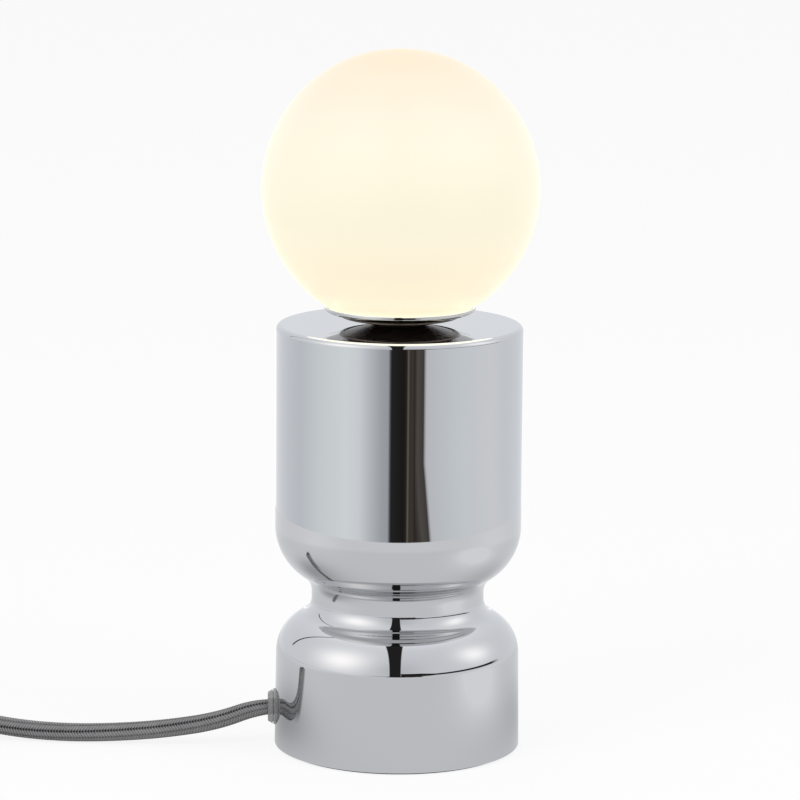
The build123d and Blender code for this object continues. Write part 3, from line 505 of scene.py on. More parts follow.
def braidTube(name, line, marks, around, twist, narrow, relief=0.0, squeeze=0.0):
    # A grooved oval carried along the line and turned by twist, with the yarns' ribs raised on it,
    # and squeezed where it leaves the bush. The oval is wide * narrow / sqrt((narrow cos)^2 + (wide
    # sin)^2), less a bell curve of the cosine for the grooves
    wide, groove = cord["wide"], cord["groove"]
    side, rise = lineFrames(line)
    angle = np.linspace(0, 2 * math.pi, around, endpoint=False)[None, :]
    oval = wide * narrow / np.sqrt((narrow * np.cos(angle)) ** 2 + (wide * np.sin(angle)) ** 2)
    dent = groove * np.exp(-(np.cos(angle) / cord["grooveWidth"]) ** 2)
    past = np.maximum(marks - cord["squeezeFrom"], 0)[:, None]
    full = 1 - squeeze * np.exp(-past / cord["squeezeReach"])
    radius = (oval - dent) * full + relief * (braidRibs(angle, marks[:, None]) - 1)
    way = angle + np.radians(twist)[:, None]
    points = (line[:, None, :] + (radius * np.cos(way))[..., None] * side[:, None, :]
              + (radius * np.sin(way))[..., None] * rise[:, None, :])
    rings = len(marks)
    faces = gridFaces(rings, around)
    row, column = np.meshgrid(np.arange(rings - 1), np.arange(around), indexing="ij")
    u = np.stack((column, column + 1, column + 1, column), axis=-1) / around
    v = np.stack((marks[row], marks[row], marks[row + 1], marks[row + 1]), axis=-1)
    return makeMesh(name, points.reshape(-1, 3), faces, uv=np.stack((u, v), axis=-1).reshape(-1, 2))


def braidFinish():
    # Grey textile yarns: rows of leaning ribs, paler at their crests as painted light, with painted
    # shade as dark dots between the rows, deepest along the two grooves between the cores
    finish = startFinish("greyBraid")
    u, v = finish.parts(finish.node("ShaderNodeUVMap", {"uv_map": "along"}))[:2]
    row = u * cord["rows"]
    place = row.maths("FRACT") - 0.5
    hand = (row * 0.5).maths("FRACT").maths("GREATER_THAN", 0.5) * -2 + 1
    lean = hand * place * cord["ribSlant"]
    fuzz = finish.noise(cord["fuzz"], detail=2)
    cloud = finish.noise(cord["cloud"], detail=2)
    turn = (v * (1 / cord["ribPitch"]) + lean + (fuzz - 0.5) * 0.5) * (2 * math.pi)
    rib = (turn + math.pi / 2).maths("SINE") * 0.5 + 0.5
    across = 1 - place * place * 4
    strong = ((row - 1.5) * 0.25).maths("FRACT").maths("LESS_THAN", 0.25)
    seam = (1 - across) ** (3 - strong * 1.7)
    # painted shade in the seams between rows, strongest in the two grooves
    dark = seam * (strong * 0.85 + 0.40) * (1.15 - rib * 0.95)
    light = finish.clamp(rib * across * 0.42 + fuzz * 0.36 + cloud * 0.25 + 0.06 - dark * 0.68)
    colour = finish.blend(light, cord["yarnInShade"], cord["paleYarn"])
    height = rib * across * 0.7 - dark + fuzz * 0.3
    return principled(finish, Base_Color=colour, Roughness=finish.clamp(0.95 - light * 0.2),
                      Sheen_Weight=0.25, Sheen_Roughness=0.4,
                      Normal=finish.bump(height, cord["yarnRelief"], 0.8))


def makeCords():
    braid = braidFinish()
    leadLine, leadMarks = evenSteps(splineLine("leadLine", leadRoute), cord["leadStep"])
    twist = cord["twistAtExit"] + cord["twistPerMetre"] * leadMarks
    leadMesh = braidTube("cordLeadBraid", leadLine, leadMarks, cord["leadAround"], twist,
                         cord["narrow"], cord["ribRelief"], cord["squeeze"])
    capEnds(leadMesh)
    lead = addPiece("cordLeadBraid", leadMesh, braid, replaced=("cord_lead",))
    restRoute = [*linkRoute, *coilPoints, *endRoute]
    restLine, restMarks = evenSteps(splineLine("restLine", restRoute), cord["coilStep"])
    twist = cord["coilTwist"] + cord["coilTwistPerMetre"] * restMarks
    restMesh = braidTube("cordCoilBraid", restLine, restMarks, cord["coilAround"], twist,
                         cord["coilNarrow"])
    capEnds(restMesh)
    rest = addPiece("cordCoilBraid", restMesh, braid,
                    replaced=("cord_link", "cord_coil", "cord_end"))
    rest.visible_glossy = False
    print("cords made", round(float(leadMarks[-1]), 4), round(float(restMarks[-1]), 4))


makeCords()


# Body: one turned and plated shell, its outline in arcs that meet without a kink

bodyLow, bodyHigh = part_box("body_shell")
body = {
    "radius": bodyHigh.x,
    "foot": bodyLow.z,
    "top": bodyHigh.z,
    "wall": 1.2 * mm,
    "topEdge": 1.9 * mm,
    "footEdge": 0.25 * mm,
    "skirtTop": 35.15 * mm,
    "skirtDraw": 0.45 * mm,
    "domeRadius": 15.4 * mm,
    "waistFillet": 7.1 * mm,
    "waistRadius": 31.55 * mm,
    "waistHeight": 2.4 * mm,
    "bellFillet": 7.85 * mm,
    "bellRadius": 21.7 * mm,
    "nippleHole": 5.05 * mm,
    "cordHole": 5.05 * mm,
    "holeBefore": 6.0 * mm,
    "holeDepth": 12.0 * mm,
    "segments": 256,
    "arcPoints": (64, 56, 52, 64),  # dome, hollow, flare and bell
    "lipPoints": 5,
    "skirtPoints": 9,
    "wallPoints": 13,
    "edgePoints": 17,
    "platePoints": 8,
    "innerShare": 0.25,  # points of an arc's inner side for each on its outer side
    "loop": 0.25 * mm,  # how near the straight runs come to the arcs
}


def skirtRadius(height):
    # The skirt is drawn in a little from its foot to its top
    rise = (height - body["foot"]) / (body["skirtTop"] - body["foot"])
    return body["radius"] - body["skirtDraw"] * rise


def bodyLine(inset, fine):
    # The outline from the skirt's top to the wall's foot, moved inwards by inset: the dome and the
    # hollow meet where the line of their centres crosses both arcs, and so do the flare and the bell
    dome, hollow, flare, bell = (int(count * fine) for count in body["arcPoints"])
    domeRadius, hollowRadius = body["domeRadius"], body["waistFillet"]
    flareRadius, bellRadius = body["bellFillet"], body["bellRadius"]
    skirt = body["radius"] - body["skirtDraw"]
    lean = math.atan(body["skirtDraw"] / (body["skirtTop"] - body["foot"]))
    domeStep = domeRadius * math.cos(lean) + hollowRadius - (skirt - body["waistRadius"])
    domeTurn = math.degrees(math.acos(domeStep / (domeRadius + hollowRadius)))
    bellStep = body["radius"] - body["waistRadius"]
    bellTurn = math.degrees(math.acos(1 - bellStep / (bellRadius + flareRadius)))
    domeCentre = np.array((skirt, body["skirtTop"])) - domeRadius * levelWay(math.degrees(lean))[:2]
    hollowCentre = domeCentre + (domeRadius + hollowRadius) * levelWay(domeTurn)[:2]
    flareCentre = np.array((body["waistRadius"] + flareRadius, hollowCentre[1] + body["waistHeight"]))
    bellCentre = flareCentre + (flareRadius + bellRadius) * levelWay(180 - bellTurn)[:2]
    return np.concatenate((
        arcRun(domeCentre, domeRadius - inset, math.degrees(lean), domeTurn, dome),
        arcRun(hollowCentre, hollowRadius + inset, 180 + domeTurn, 180, hollow)[1:],
        arcRun(flareCentre, flareRadius + inset, 180, 180 - bellTurn, flare),
        arcRun(bellCentre, bellRadius - inset, -bellTurn, 0, bell)[1:],
    ))


def bodyProfile():
    # Foot lip, skirt, arcs, upright wall, top edge, top plate to its hole, and the inner wall back down
    radius, wall, edge, lip = body["radius"], body["wall"], body["topEdge"], body["footEdge"]
    inner = radius - wall
    outerLine = bodyLine(0, 1)
    innerLine = bodyLine(wall, body["innerShare"])
    loop = body["loop"]
    skirtLevels = np.linspace(body["foot"] + lip + loop, body["skirtTop"] - loop, body["skirtPoints"])
    wallLevels = np.linspace(outerLine[-1, 1] + loop, body["top"] - edge - loop, body["wallPoints"])
    plateRadii = np.linspace(radius - edge - loop, body["nippleHole"], body["platePoints"])
    return np.concatenate((
        arcRun((radius - lip, body["foot"] + lip), lip, -90, 0, body["lipPoints"]),
        np.column_stack((skirtRadius(skirtLevels), skirtLevels)),
        outerLine,
        np.column_stack((np.full(len(wallLevels), radius), wallLevels)),
        arcRun((radius - edge, body["top"] - edge), edge, 0, 90, body["edgePoints"]),
        np.column_stack((plateRadii, np.full(len(plateRadii), body["top"]))),
        np.array(((body["nippleHole"], body["top"] - wall), (inner, body["top"] - wall))),
        innerLine[::-1],
        np.array(((inner, body["foot"]),)),
    ))


def pierce(mesh, start, way, radius, depth):
    # A round hole cut through the mesh along a way
    reach = np.array(((0.0, 0.0), (radius, 0.0), (radius, depth), (0.0, depth)))
    cutterMesh = turned("holeCutter", reach, 48, way, start)
    cutter = bpy.data.objects.new("holeCutter", cutterMesh)
    holder = bpy.data.objects.new("holeHolder", mesh)
    for item in (cutter, holder):
        bpy.context.scene.collection.objects.link(item)
    cut = holder.modifiers.new("hole", "BOOLEAN")
    cut.operation = "DIFFERENCE"
    cut.solver = "EXACT"
    cut.object = cutter
    bpy.context.view_layer.update()
    pierced = holder.evaluated_get(bpy.context.evaluated_depsgraph_get())
    result = bpy.data.meshes.new_from_object(pierced)
    for item in (cutter, holder):
        bpy.data.objects.remove(item)
    bpy.data.meshes.remove(cutterMesh)
    bpy.data.meshes.remove(mesh)
    return result


plating = {
    "colour": (0.62, 0.62, 0.632),
    "handled": (0.6014, 0.6014, 0.61304),
    "mark": 35 * mm,  # size of the handling marks
    "grain": 0.9 * mm,
    "smooth": 0.003,
    "dull": 0.010,
    "uneven": 0.004,
}


def mirrorFinish():
    # Plated metal: nearly even colour, with faint handling marks in the gloss
    finish = startFinish("plateMirror")
    marks = finish.noise(plating["mark"], detail=4, stretch=(1, 1, 0.6))
    fine = finish.noise(plating["grain"], detail=2)
    shade = finish.blend(marks, plating["handled"], plating["colour"])
    gloss = marks * (plating["dull"] - plating["smooth"]) + plating["smooth"]
    gloss = finish.clamp(gloss + (fine - 0.5) * plating["uneven"])
    return principled(finish, Base_Color=shade, Metallic=1.0, Roughness=gloss)


chrome = mirrorFinish()


def makeBody():
    mesh = turned("bodyTurned", bodyProfile(), body["segments"], sharp=35)
    start = cordWay * (body["radius"] - body["holeBefore"]) + up * cord["heightAtExit"]
    mesh = pierce(mesh, start, cordWay, body["cordHole"], body["holeDepth"])
    mesh.name = "bodyTurned"
    mesh.materials.clear()
    addPiece("bodyTurned", mesh, chrome, replaced=("body_shell",))
    print("body turned", len(mesh.polygons), "faces")


makeBody()


# Lugs inside the foot, which the base screws bite into

lugs = {
    "centre": 39.9 * mm,
    "halfDepth": 4.5 * mm,
    "halfWidth": 5.0 * mm,
    "boreCentre": 39.6 * mm,
    "bore": 2.05 * mm,
    "low": 3.0 * mm,
    "high": 11.0 * mm,
    "angles": (243.0, 3.0, 123.0),
    "squareness": 16,
    "around": 64,
}


def makeLugs():
    # Three bored blocks; the outline of each is the oval (x/a)^n + (y/b)^n = 1, and so large an n
    # makes it a rectangle with small round corners
    power = lugs["squareness"]
    turn = np.linspace(0, 2 * math.pi, lugs["around"], endpoint=False)
    ring = np.column_stack((np.cos(turn), np.sin(turn)))
    share = np.sum((ring / (lugs["halfDepth"], lugs["halfWidth"])) ** power, axis=1)
    oval = ring / share[:, None] ** (1 / power)
    outlines = [oval + (lugs["centre"], 0), ring * lugs["bore"] + (lugs["boreCentre"], 0)]
    levels = ((0, "low"), (0, "high"), (1, "high"), (1, "low"))
    block = np.concatenate([np.column_stack((outlines[which], np.full(len(turn), lugs[level])))
                            for which, level in levels])
    ways = [levelWay(angle) for angle in lugs["angles"]]
    points = [block @ np.array((way, np.cross(up, way), up)) for way in ways]
    faces = [gridFaces(4, len(turn), closeRows=True) + k * len(block) for k in range(len(ways))]
    mesh = makeMesh("bodyLugs", np.concatenate(points), np.concatenate(faces))
    weld(mesh, 40)
    addPiece("bodyLugs", mesh, chrome, replaced=("body_shell",))
    print("lugs added")


makeLugs()


# Globe: blown opal glass with a ground mouth, lit from inside

globeLow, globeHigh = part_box("globe_shade")
globe = {
    "radius": globeHigh.x,
    "centre": globeHigh.z - globeHigh.x,
    "seat": globeLow.z,
    "wall": 2.8 * mm,
    "mouthEdge": 0.25 * mm,
    "mouthTurn": 0.3,
    "segments": 192,
    "outerPoints": 110,
    "innerPoints": 60,
    "glass": ((0.50, 0.48, 0.44), (0.53, 0.51, 0.47)),
    "drift": 40 * mm,
    "driftGain": 0.08,
    "glow": (  # share of the height, and colour there
        (0.00, (0.79, 0.69, 0.47)), (0.08, (0.68, 0.57, 0.385)), (0.17, (0.62, 0.54, 0.36)),
        (0.35, (0.57, 0.523, 0.367)), (0.62, (0.56, 0.508, 0.366)), (0.735, (0.54, 0.47, 0.34)),
        (0.85, (0.52, 0.40, 0.26)), (0.91, (0.51, 0.34, 0.18)), (0.97, (0.50, 0.30, 0.14)),
    ),
    "mirroredGain": (0.80, 0.86, 0.78),
}


def globeProfile():
    # Two arcs about one centre, from the ground mouth up to the crown and back down inside
    drop = globe["centre"] - globe["seat"]
    inner = globe["radius"] - globe["wall"]
    outerStart = -math.degrees(math.asin(drop / globe["radius"]))
    innerStart = -math.degrees(math.asin(drop / inner))
    centre = (0.0, globe["centre"])
    edge = globe["mouthEdge"]
    outer = arcRun(centre, globe["radius"], outerStart + globe["mouthTurn"], 90, globe["outerPoints"])
    inside = arcRun(centre, inner, 90, innerStart + globe["mouthTurn"], globe["innerPoints"])
    outer[-1, 0] = inside[0, 0] = 0.0
    mouth = np.array(((inner * math.cos(math.radians(innerStart)) + edge, globe["seat"]),
                      (globe["radius"] * math.cos(math.radians(outerStart)) - edge, globe["seat"])))
    return np.concatenate((outer, inside, mouth))


def opalFinish():
    # Lit opal glass: a painted glow standing in for the bulb's light through the glass, cream, warmer
    # under the crown and yellower towards the mouth, and brighter towards the mouth as painted light
    # where the lamps' light falls less
    finish = startFinish("opalLit")
    height = finish.parts(finish.place())[2]
    drift = finish.noise(globe["drift"], detail=1)
    level = (height - globe["seat"]) / (2 * globe["radius"]) + (drift - 0.5) * globe["driftGain"]
    # painted glow, raised towards the mouth to make up for the lamps' light that falls less there
    glow = finish.node("ShaderNodeValToRGB", {"stops": globe["glow"]}, {"Fac": level})
    # The metal mirrors the glow at its full strength, past what a picture can show as white
    glow = finish.add(finish.rays()[1], glow, globe["mirroredGain"])
    colour = finish.blend(drift, *globe["glass"])
    return principled(finish, Base_Color=colour, Roughness=0.32, Specular_IOR_Level=0.35,
                      Emission_Color=glow, Emission_Strength=1.0)


def makeGlobe():
    mesh = turned("globeOpal", globeProfile(), globe["segments"], sharp=40)
    addPiece("globeOpal", mesh, opalFinish(), body="globe",
             replaced=("globe_shade",))
    print("globe blown", len(mesh.polygons), "faces")


makeGlobe()


# Gallery: the shallow polished dish that carries the globe

galleryLow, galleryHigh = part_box("globe_gallery")
gallery = {
    "radius": galleryHigh.x,
    "low": galleryLow.z,
    "rim": galleryHigh.z,
    "wall": 1.2 * mm,
    "hub": 9.0 * mm,
    "bore": 5.05 * mm,
    "floor": 1.2 * mm,
    "floorRadius": 11.2 * mm,
    "flangeRise": 4.9 * mm,
    "flangeRadius": 26.4 * mm,
    "rimLow": 5.8 * mm,
    "ledgeRise": 5.9 * mm,
    "ledgeInner": 22.0 * mm,
    "beadInner": 20.4 * mm,
    "beadOuter": 21.5 * mm,
    "beadDrop": 0.45 * mm,
    "mark": 20 * mm,
    "bright": ((0.58, 0.57, 0.56), (0.64, 0.63, 0.62)),
    "brown": ((0.15, 0.115, 0.09), (0.20, 0.16, 0.13)),
    "brownReach": 22.0 * mm,
    "brownSoft": 0.8 * mm,
    "corner": 0.35 * mm,
    "segments": 192,
}


def galleryProfile():
    # Floor, sloping flange with its bead, upright rim bevelled to the globe, and a ledge inside
    low, rim = gallery["low"], gallery["rim"]
    inner = gallery["radius"] - gallery["wall"]
    slope = gallery["flangeRise"] / (gallery["flangeRadius"] - gallery["hub"])
    ledgeFoot = low + gallery["floor"] + slope * (gallery["ledgeInner"] - gallery["floorRadius"])
    ball = globe["radius"] ** 2
    bevel = math.sqrt(ball - inner ** 2) - math.sqrt(ball - gallery["radius"] ** 2)

    def under(radius, drop=0.0):
        # A place on the sloping underside, or hung below it
        return radius, low + slope * (radius - gallery["hub"]) - drop

    corners = [
        (gallery["bore"], low), (gallery["hub"], low),
        under(gallery["beadInner"]), under(gallery["beadInner"], gallery["beadDrop"]),
        under(gallery["beadOuter"], gallery["beadDrop"]), under(gallery["beadOuter"]),
        (gallery["flangeRadius"], low + gallery["flangeRise"]),
        (gallery["radius"], low + gallery["rimLow"]), (gallery["radius"], rim),
        (inner, rim - bevel), (inner, low + gallery["ledgeRise"]),
        (gallery["ledgeInner"], low + gallery["ledgeRise"]), (gallery["ledgeInner"], ledgeFoot),
        (gallery["floorRadius"], low + gallery["floor"]), (gallery["bore"], low + gallery["floor"]),
    ]
    return softCorners(corners, gallery["corner"])


def dishFinish():
    # Plated outside, and a darker brown, rougher and less metallic surface on the inner underside
    finish = startFinish("dishPlating")
    marks = finish.noise(gallery["mark"], detail=3)
    x, y = finish.parts(finish.place())[:2]
    out = (x * x + y * y) ** 0.5
    outer = finish.soft(out - gallery["brownReach"], gallery["brownSoft"])
    bright = finish.blend(marks, *gallery["bright"])
    brown = finish.blend(marks, *gallery["brown"])
    return principled(finish, Base_Color=finish.blend(outer, brown, bright),
                      Metallic=finish.clamp(outer * 0.45 + 0.55),
                      Roughness=finish.clamp(0.24 - outer * 0.19 + marks * 0.03))


def makeGallery():
    mesh = turned("galleryDish", galleryProfile(), gallery["segments"], sharp=50)
    addPiece("galleryDish", mesh, dishFinish(), replaced=("globe_gallery",))
    print("gallery turned")


makeGallery()


# Cord bush: clear moulded ring at the body's side

bush = {
    "inner": 41.65 * mm,
    "barb": 6.2 * mm,
    "barbFace": 43.05 * mm,
    "tailBore": 3.42 * mm,
    "face": 44.96 * mm,
    "flange": 6.7 * mm,
    "flangeFront": 6.6 * mm,
    "flangeThick": 0.5 * mm,
    "seating": 0.7 * mm,
    "groove": 5.7 * mm,
    "grooveWide": 0.3 * mm,
    "lip": 6.35 * mm,
    "nose": 5.3 * mm,
    "reach": 47.5 * mm,
    "bore": 2.98 * mm,
    "neck": 5.0 * mm,
    "cloud": 6 * mm,
    "haze": ((0.27, 0.27, 0.275), (0.36, 0.36, 0.365)),
    "corner": 0.12 * mm,
    "segments": 72,
}


def makeBush():
    # Barb inside the wall, neck in the hole, tapered flange, fine groove, lip and nose outside
    finish = startFinish("clearBush")
    haze = finish.noise(bush["cloud"], detail=1)
    material = principled(finish, Base_Color=finish.blend(haze, *bush["haze"]),
                          Roughness=finish.clamp(haze * 0.06 + 0.24), Alpha=0.68, IOR=1.46,
                          Coat_Weight=0.2)
    face = bush["face"]
    front = face + bush["flangeThick"]
    corners = [
        (bush["tailBore"], bush["inner"]), (bush["barb"], bush["inner"]),
        (bush["barb"], bush["barbFace"]), (bush["neck"], bush["barbFace"]),
        (bush["neck"], face - bush["seating"]),
        (bush["flange"], face - bush["seating"]), (bush["flangeFront"], front), (bush["groove"], front),
        (bush["groove"], front + bush["grooveWide"]), (bush["lip"], front + bush["grooveWide"]),
        (bush["nose"], bush["reach"]), (bush["bore"], bush["reach"]), (bush["bore"], bush["barbFace"]),
        (bush["tailBore"], bush["barbFace"]),
    ]
    mesh = turned("bushMoulded", softCorners(corners, bush["corner"]), bush["segments"], cordWay,
                  up * cord["heightAtExit"], sharp=50)
    addPiece("bushMoulded", mesh, material, replaced=("cord_bush",))
    print("bush moulded")


makeBush()


# Finishes of the CAD pieces that keep their own shape

def plainFinish(name, colour, dark, rough, metallic=0.0, grain=0.6 * mm, relief=0.01 * mm, **more):
    # One material with a drifting colour and a fine surface grain
    patch = 12 * mm
    finish = startFinish(name)
    drift = finish.noise(patch, detail=3)
    fine = finish.noise(grain, detail=2)
    shade = finish.blend(finish.clamp(drift * 0.6 + fine * 0.5 - 0.05), dark, colour)
    gloss = finish.clamp(fine * 0.12 + drift * 0.08 + rough - 0.1)
    return principled(finish, Base_Color=shade, Metallic=metallic, Roughness=gloss,
                      Normal=finish.bump(fine, relief, 0.6), **more)


felt = {
    "fibre": 0.5 * mm,
    "mat": 4 * mm,
    "relief": 0.15 * mm,
    "shades": ((0.012, 0.012, 0.013), (0.05, 0.05, 0.052)),
}


def feltFinish():
    finish = startFinish("blackFelt")
    fibre = finish.noise(felt["fibre"], detail=5, rough=0.7)
    mat = finish.noise(felt["mat"], detail=2)
    shade = finish.blend(finish.clamp(fibre + mat - 0.6), *felt["shades"])
    return principled(finish, Base_Color=shade, Roughness=0.95, Sheen_Weight=0.4,
                      Normal=finish.bump(fibre, felt["relief"], 0.8))


finishes = {
    "polished_metal": chrome,
    "dark_metal": chrome,
    "steel": plainFinish("zincSteel", (0.60, 0.60, 0.62), (0.42, 0.42, 0.44), 0.32, metallic=1.0),
    "brass": plainFinish("plainBrass", (0.78, 0.60, 0.30), (0.60, 0.44, 0.20), 0.28, metallic=1.0),
    "iron": plainFinish("castIron", (0.05, 0.05, 0.052), (0.02, 0.02, 0.021), 0.65, grain=1.4 * mm,
                        relief=0.25 * mm),
    "felt": feltFinish(),
    "gasket": plainFinish("softSilicone", (0.80, 0.80, 0.78), (0.70, 0.70, 0.68), 0.5),
    "ceramic": plainFinish("glazedCeramic", (0.86, 0.85, 0.81), (0.78, 0.77, 0.72), 0.22,
                           Coat_Weight=0.4),
    "white_plastic": plainFinish("whiteMoulding", (0.86, 0.86, 0.85), (0.78, 0.78, 0.77), 0.38),
    "capsule": plainFinish("frostedCapsule", (0.93, 0.91, 0.85), (0.88, 0.86, 0.80), 0.35,
                           Emission_Color=(1.0, 0.86, 0.62), Emission_Strength=1.5),
    "braid": plainFinish("tailSleeve", (0.20, 0.20, 0.205), (0.08, 0.08, 0.083), 0.9, grain=0.7 * mm,
                         relief=0.12 * mm),
    "brown_wire": plainFinish("brownInsulation", (0.22, 0.10, 0.05), (0.16, 0.07, 0.035), 0.5),
    "blue_wire": plainFinish("blueInsulation", (0.05, 0.14, 0.38), (0.035, 0.10, 0.28), 0.5),
    "grey_plastic": plainFinish("greyMoulding", (0.115, 0.115, 0.12), (0.085, 0.085, 0.09), 0.46,
                                grain=0.35 * mm, relief=0.03 * mm),
    "tie_plastic": plainFinish("strapWeave", (0.035, 0.035, 0.037), (0.012, 0.012, 0.013), 0.8,
                               grain=0.5 * mm, relief=0.2 * mm),
}


def dressNodes():
    # Each node's material has the name of its slot, perhaps with a number after a point
    dressed = 0
    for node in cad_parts:
        item = bpy.data.objects.get(node)
        if item is None or item.type != "MESH":
            continue
        for place in item.material_slots:
            name = place.material.name.split(".")[0] if place.material else ""
            if finishes.get(name):
                place.material = finishes[name]
                dressed += 1
    print("nodes dressed", dressed)


dressNodes()

# The switch, coil and plug lie outside the photograph, and the metal in it doesn't mirror them either
for node in ("switch_lower", "switch_upper", "switch_rocker", "switch_pivot_pin", "switch_screws",
             "cord_tie", "plug_body", "plug_pins"):
    bpy.data.objects[node].visible_glossy = False


# Stage: a pale round table, plain lamps, and a studio that only the polished metal mirrors

stage = {
    "tableRadius": 0.430,
    "tablePoints": 180,
    "farFloor": 14.0,
    "floorDrop": 0.5 * mm,
    "seenTable": 0.80,
    # Centre, reach and gain of each painted pool of light (gain above nought) or painted shadow (gain
    # below nought) on the table, which only the metal sees
    "paintedPoolsAndShadows": (((0.155, -0.045, 0.0), 0.055, 0.20), ((0.225, -0.075, 0.0), 0.075, 0.27),
                ((-0.085, 0.015, 0.0), 0.050, -0.36), ((0.068, 0.036, 0.0), 0.055, -0.19),
                ((0.36, 0.02, 0.0), 0.16, 0.11), ((-0.36, -0.08, 0.0), 0.15, 0.10)),
    # a painted brightening of the table's mirrored grey towards its rim
    "rimGain": 0.07,
    "rimStart": 0.33,
    "rimSoft": 0.12,
    "tint": (0.985, 1.0, 1.02),
    "white": (1.06, 1.06, 1.06),
    "lit": (0.80, 0.80, 0.80),
    "whiteShare": 0.80,
    "worldLight": (0.62, 0.62, 0.62),
}
cordShade = {
    "start": (-0.098, -0.004),
    "reach": 0.095,
    "half": 0.0066,
    "sideSoft": 0.006,
    "endSoft": 0.02,
    "loss": 0.66,
}
studio = {
    "walls": (  # azimuth, and colour there
        (-180, (1.00, 1.00, 1.00)), (-160, (0.69, 0.70, 0.72)), (-130, (0.61, 0.63, 0.66)),
        (-104, (0.56, 0.59, 0.62)), (-76, (0.66, 0.70, 0.71)), (-50, (0.72, 0.77, 0.77)),
        (-37, (0.68, 0.71, 0.73)), (-25, (0.50, 0.53, 0.55)), (-16, (0.39, 0.41, 0.43)),
        (-9.0, (0.35, 0.37, 0.39)), (-8.2, (0.02, 0.02, 0.02)), (4.8, (0.012, 0.011, 0.010)),
        (8.0, (0.03, 0.025, 0.02)), (8.9, (0.24, 0.205, 0.17)), (9.8, (0.045, 0.036, 0.03)),
        (13.2, (0.055, 0.045, 0.038)), (14.4, (0.02, 0.015, 0.012)), (16.4, (0.085, 0.076, 0.068)),
        (22.8, (0.055, 0.048, 0.046)), (24.6, (0.55, 0.56, 0.58)), (36, (0.58, 0.61, 0.63)),
        (60, (0.63, 0.67, 0.69)), (95, (0.68, 0.69, 0.71)), (115, (0.63, 0.66, 0.69)),
        (165, (0.63, 0.66, 0.69)), (180, (1.00, 1.00, 1.00)),
    ),
    "slide": {"below": 0.197, "rate": 330.0, "most": 8.0, "from": 18.0, "soft": 10.0},
    "horizon": 0.055,
    "horizonSoft": 0.04,
    "sky": (0.645, 0.665, 0.69),
    # Azimuth and elevation, reach, and colour
    "boxes": (((-58, 26), 25, (0.54, 0.50, 0.46)), ((86, 27), 17, (0.45, 0.425, 0.395)),
              ((180, 70), 26, (0.45, 0.45, 0.45))),
    "frontDim": ((0, 12), 26, 0.19),
    "dark": (0.022, 0.021, 0.021),
    "gap": {"left": -0.120, "right": 0.060, "soft": 0.012, "front": -0.02, "frontSoft": 0.1},
    "line": {"level": -0.005, "half": 0.075, "soft": 0.012, "taperFrom": 22.0, "taperRate": 4.0,
             "taper": 0.042, "left": 3.0, "leftSoft": 0.05, "right": 106.0, "rightSoft": 0.2},
    "stand": {"azimuth": -124.5, "half": 1.0, "soft": 0.012, "low": 0.20, "lowSoft": 0.05,
              "high": 0.85, "highSoft": 0.1},
    "level": 1.34,
}
lamps = {
    "lampLeft": {"place": (-1.1, -1.2, 1.7), "size": 1.1, "power": 11.0},
    "lampRight": {"place": (1.3, -0.7, 1.5), "size": 1.1, "power": 7.0},
}
lampsAim = (0, 0, 0.08)


def lookWay(azimuth, elevation):
    # A direction from its azimuth, to the right from the front, and its elevation
    side, lift = math.radians(azimuth), math.radians(elevation)
    return (math.cos(lift) * math.sin(side), -math.cos(lift) * math.cos(side), math.sin(lift))


def plane(name, corners, material, **seen):
    mesh = bpy.data.meshes.new(name)
    mesh.from_pydata([tuple(c) for c in corners], [], [tuple(range(len(corners)))])
    mesh.materials.append(material)
    item = bpy.data.objects.new(name, mesh)
    bpy.context.scene.collection.objects.link(item)
    for key, value in seen.items():
        setattr(item, key, value)


def cordShadeOn(finish, x, y):
    # The cord's soft shadow on the table, a straight strip that fades at its ends
    along = cordShade["start"][0] - x
    across = y - cordShade["start"][1]
    side = finish.soft(cordShade["half"] - across.maths("ABSOLUTE"), cordShade["sideSoft"])
    ends = finish.between(along, 0, cordShade["reach"], cordShade["endSoft"], cordShade["endSoft"])
    return side * ends * cordShade["loss"]


def floorFinish(name, mirrored):
    # White to the camera and lit to the lamps; mirrored adds the grey that the metal sees, with painted
    # pools of light, painted shadows, a painted brightening towards the rim and the cord's painted
    # shadow on it
    finish = startFinish(name)
    camera, glossy, through = finish.rays()
    grey = stage["seenTable"]
    if mirrored:
        here = finish.node("ShaderNodeTexCoord", out=3)
        # painted pools of light and painted shadows on the grey that the metal sees
        for centre, reach, gain in stage["paintedPoolsAndShadows"]:
            grey = finish.lobe(here, centre, reach) * gain + grey
        x, y = finish.parts(here)[:2]
        rim = finish.soft((x * x + y * y) ** 0.5 - stage["rimStart"], stage["rimSoft"])
        grey = (rim * stage["rimGain"] + grey) * (1 - cordShadeOn(finish, x, y))
    tint = finish.blend(grey, (0.0, 0.0, 0.0), stage["tint"])
    colour = finish.blend(camera, tint, stage["white"])
    shown = finish.clamp(finish.clamp(camera + through) * stage["whiteShare"] + glossy)
    lit = finish.node("ShaderNodeBsdfDiffuse", {}, {"Color": stage["lit"]})
    glow = finish.node("ShaderNodeEmission", {}, {"Color": colour, "Strength": 1.0})
    return finish.close(finish.node("ShaderNodeMixShader", {}, {0: shown, 1: lit, 2: glow}))


def makeStage():
    radius, far, drop = stage["tableRadius"], stage["farFloor"], stage["floorDrop"]
    turn = np.linspace(0, 2 * math.pi, stage["tablePoints"], endpoint=False)
    rim = np.column_stack((radius * np.cos(turn), radius * np.sin(turn), np.zeros(len(turn))))
    plane("table", rim, floorFinish("paleTable", True))
    corners = [(x * far, y * far, -drop) for x, y in ((-1, -1), (1, -1), (1, 1), (-1, 1))]
    plane("farFloor", corners, floorFinish("paleFloor", False), visible_glossy=False,
          visible_transmission=False, visible_diffuse=False)
    print("stage set")


def lifted(colour):
    return tuple(part * studio["level"] for part in colour)


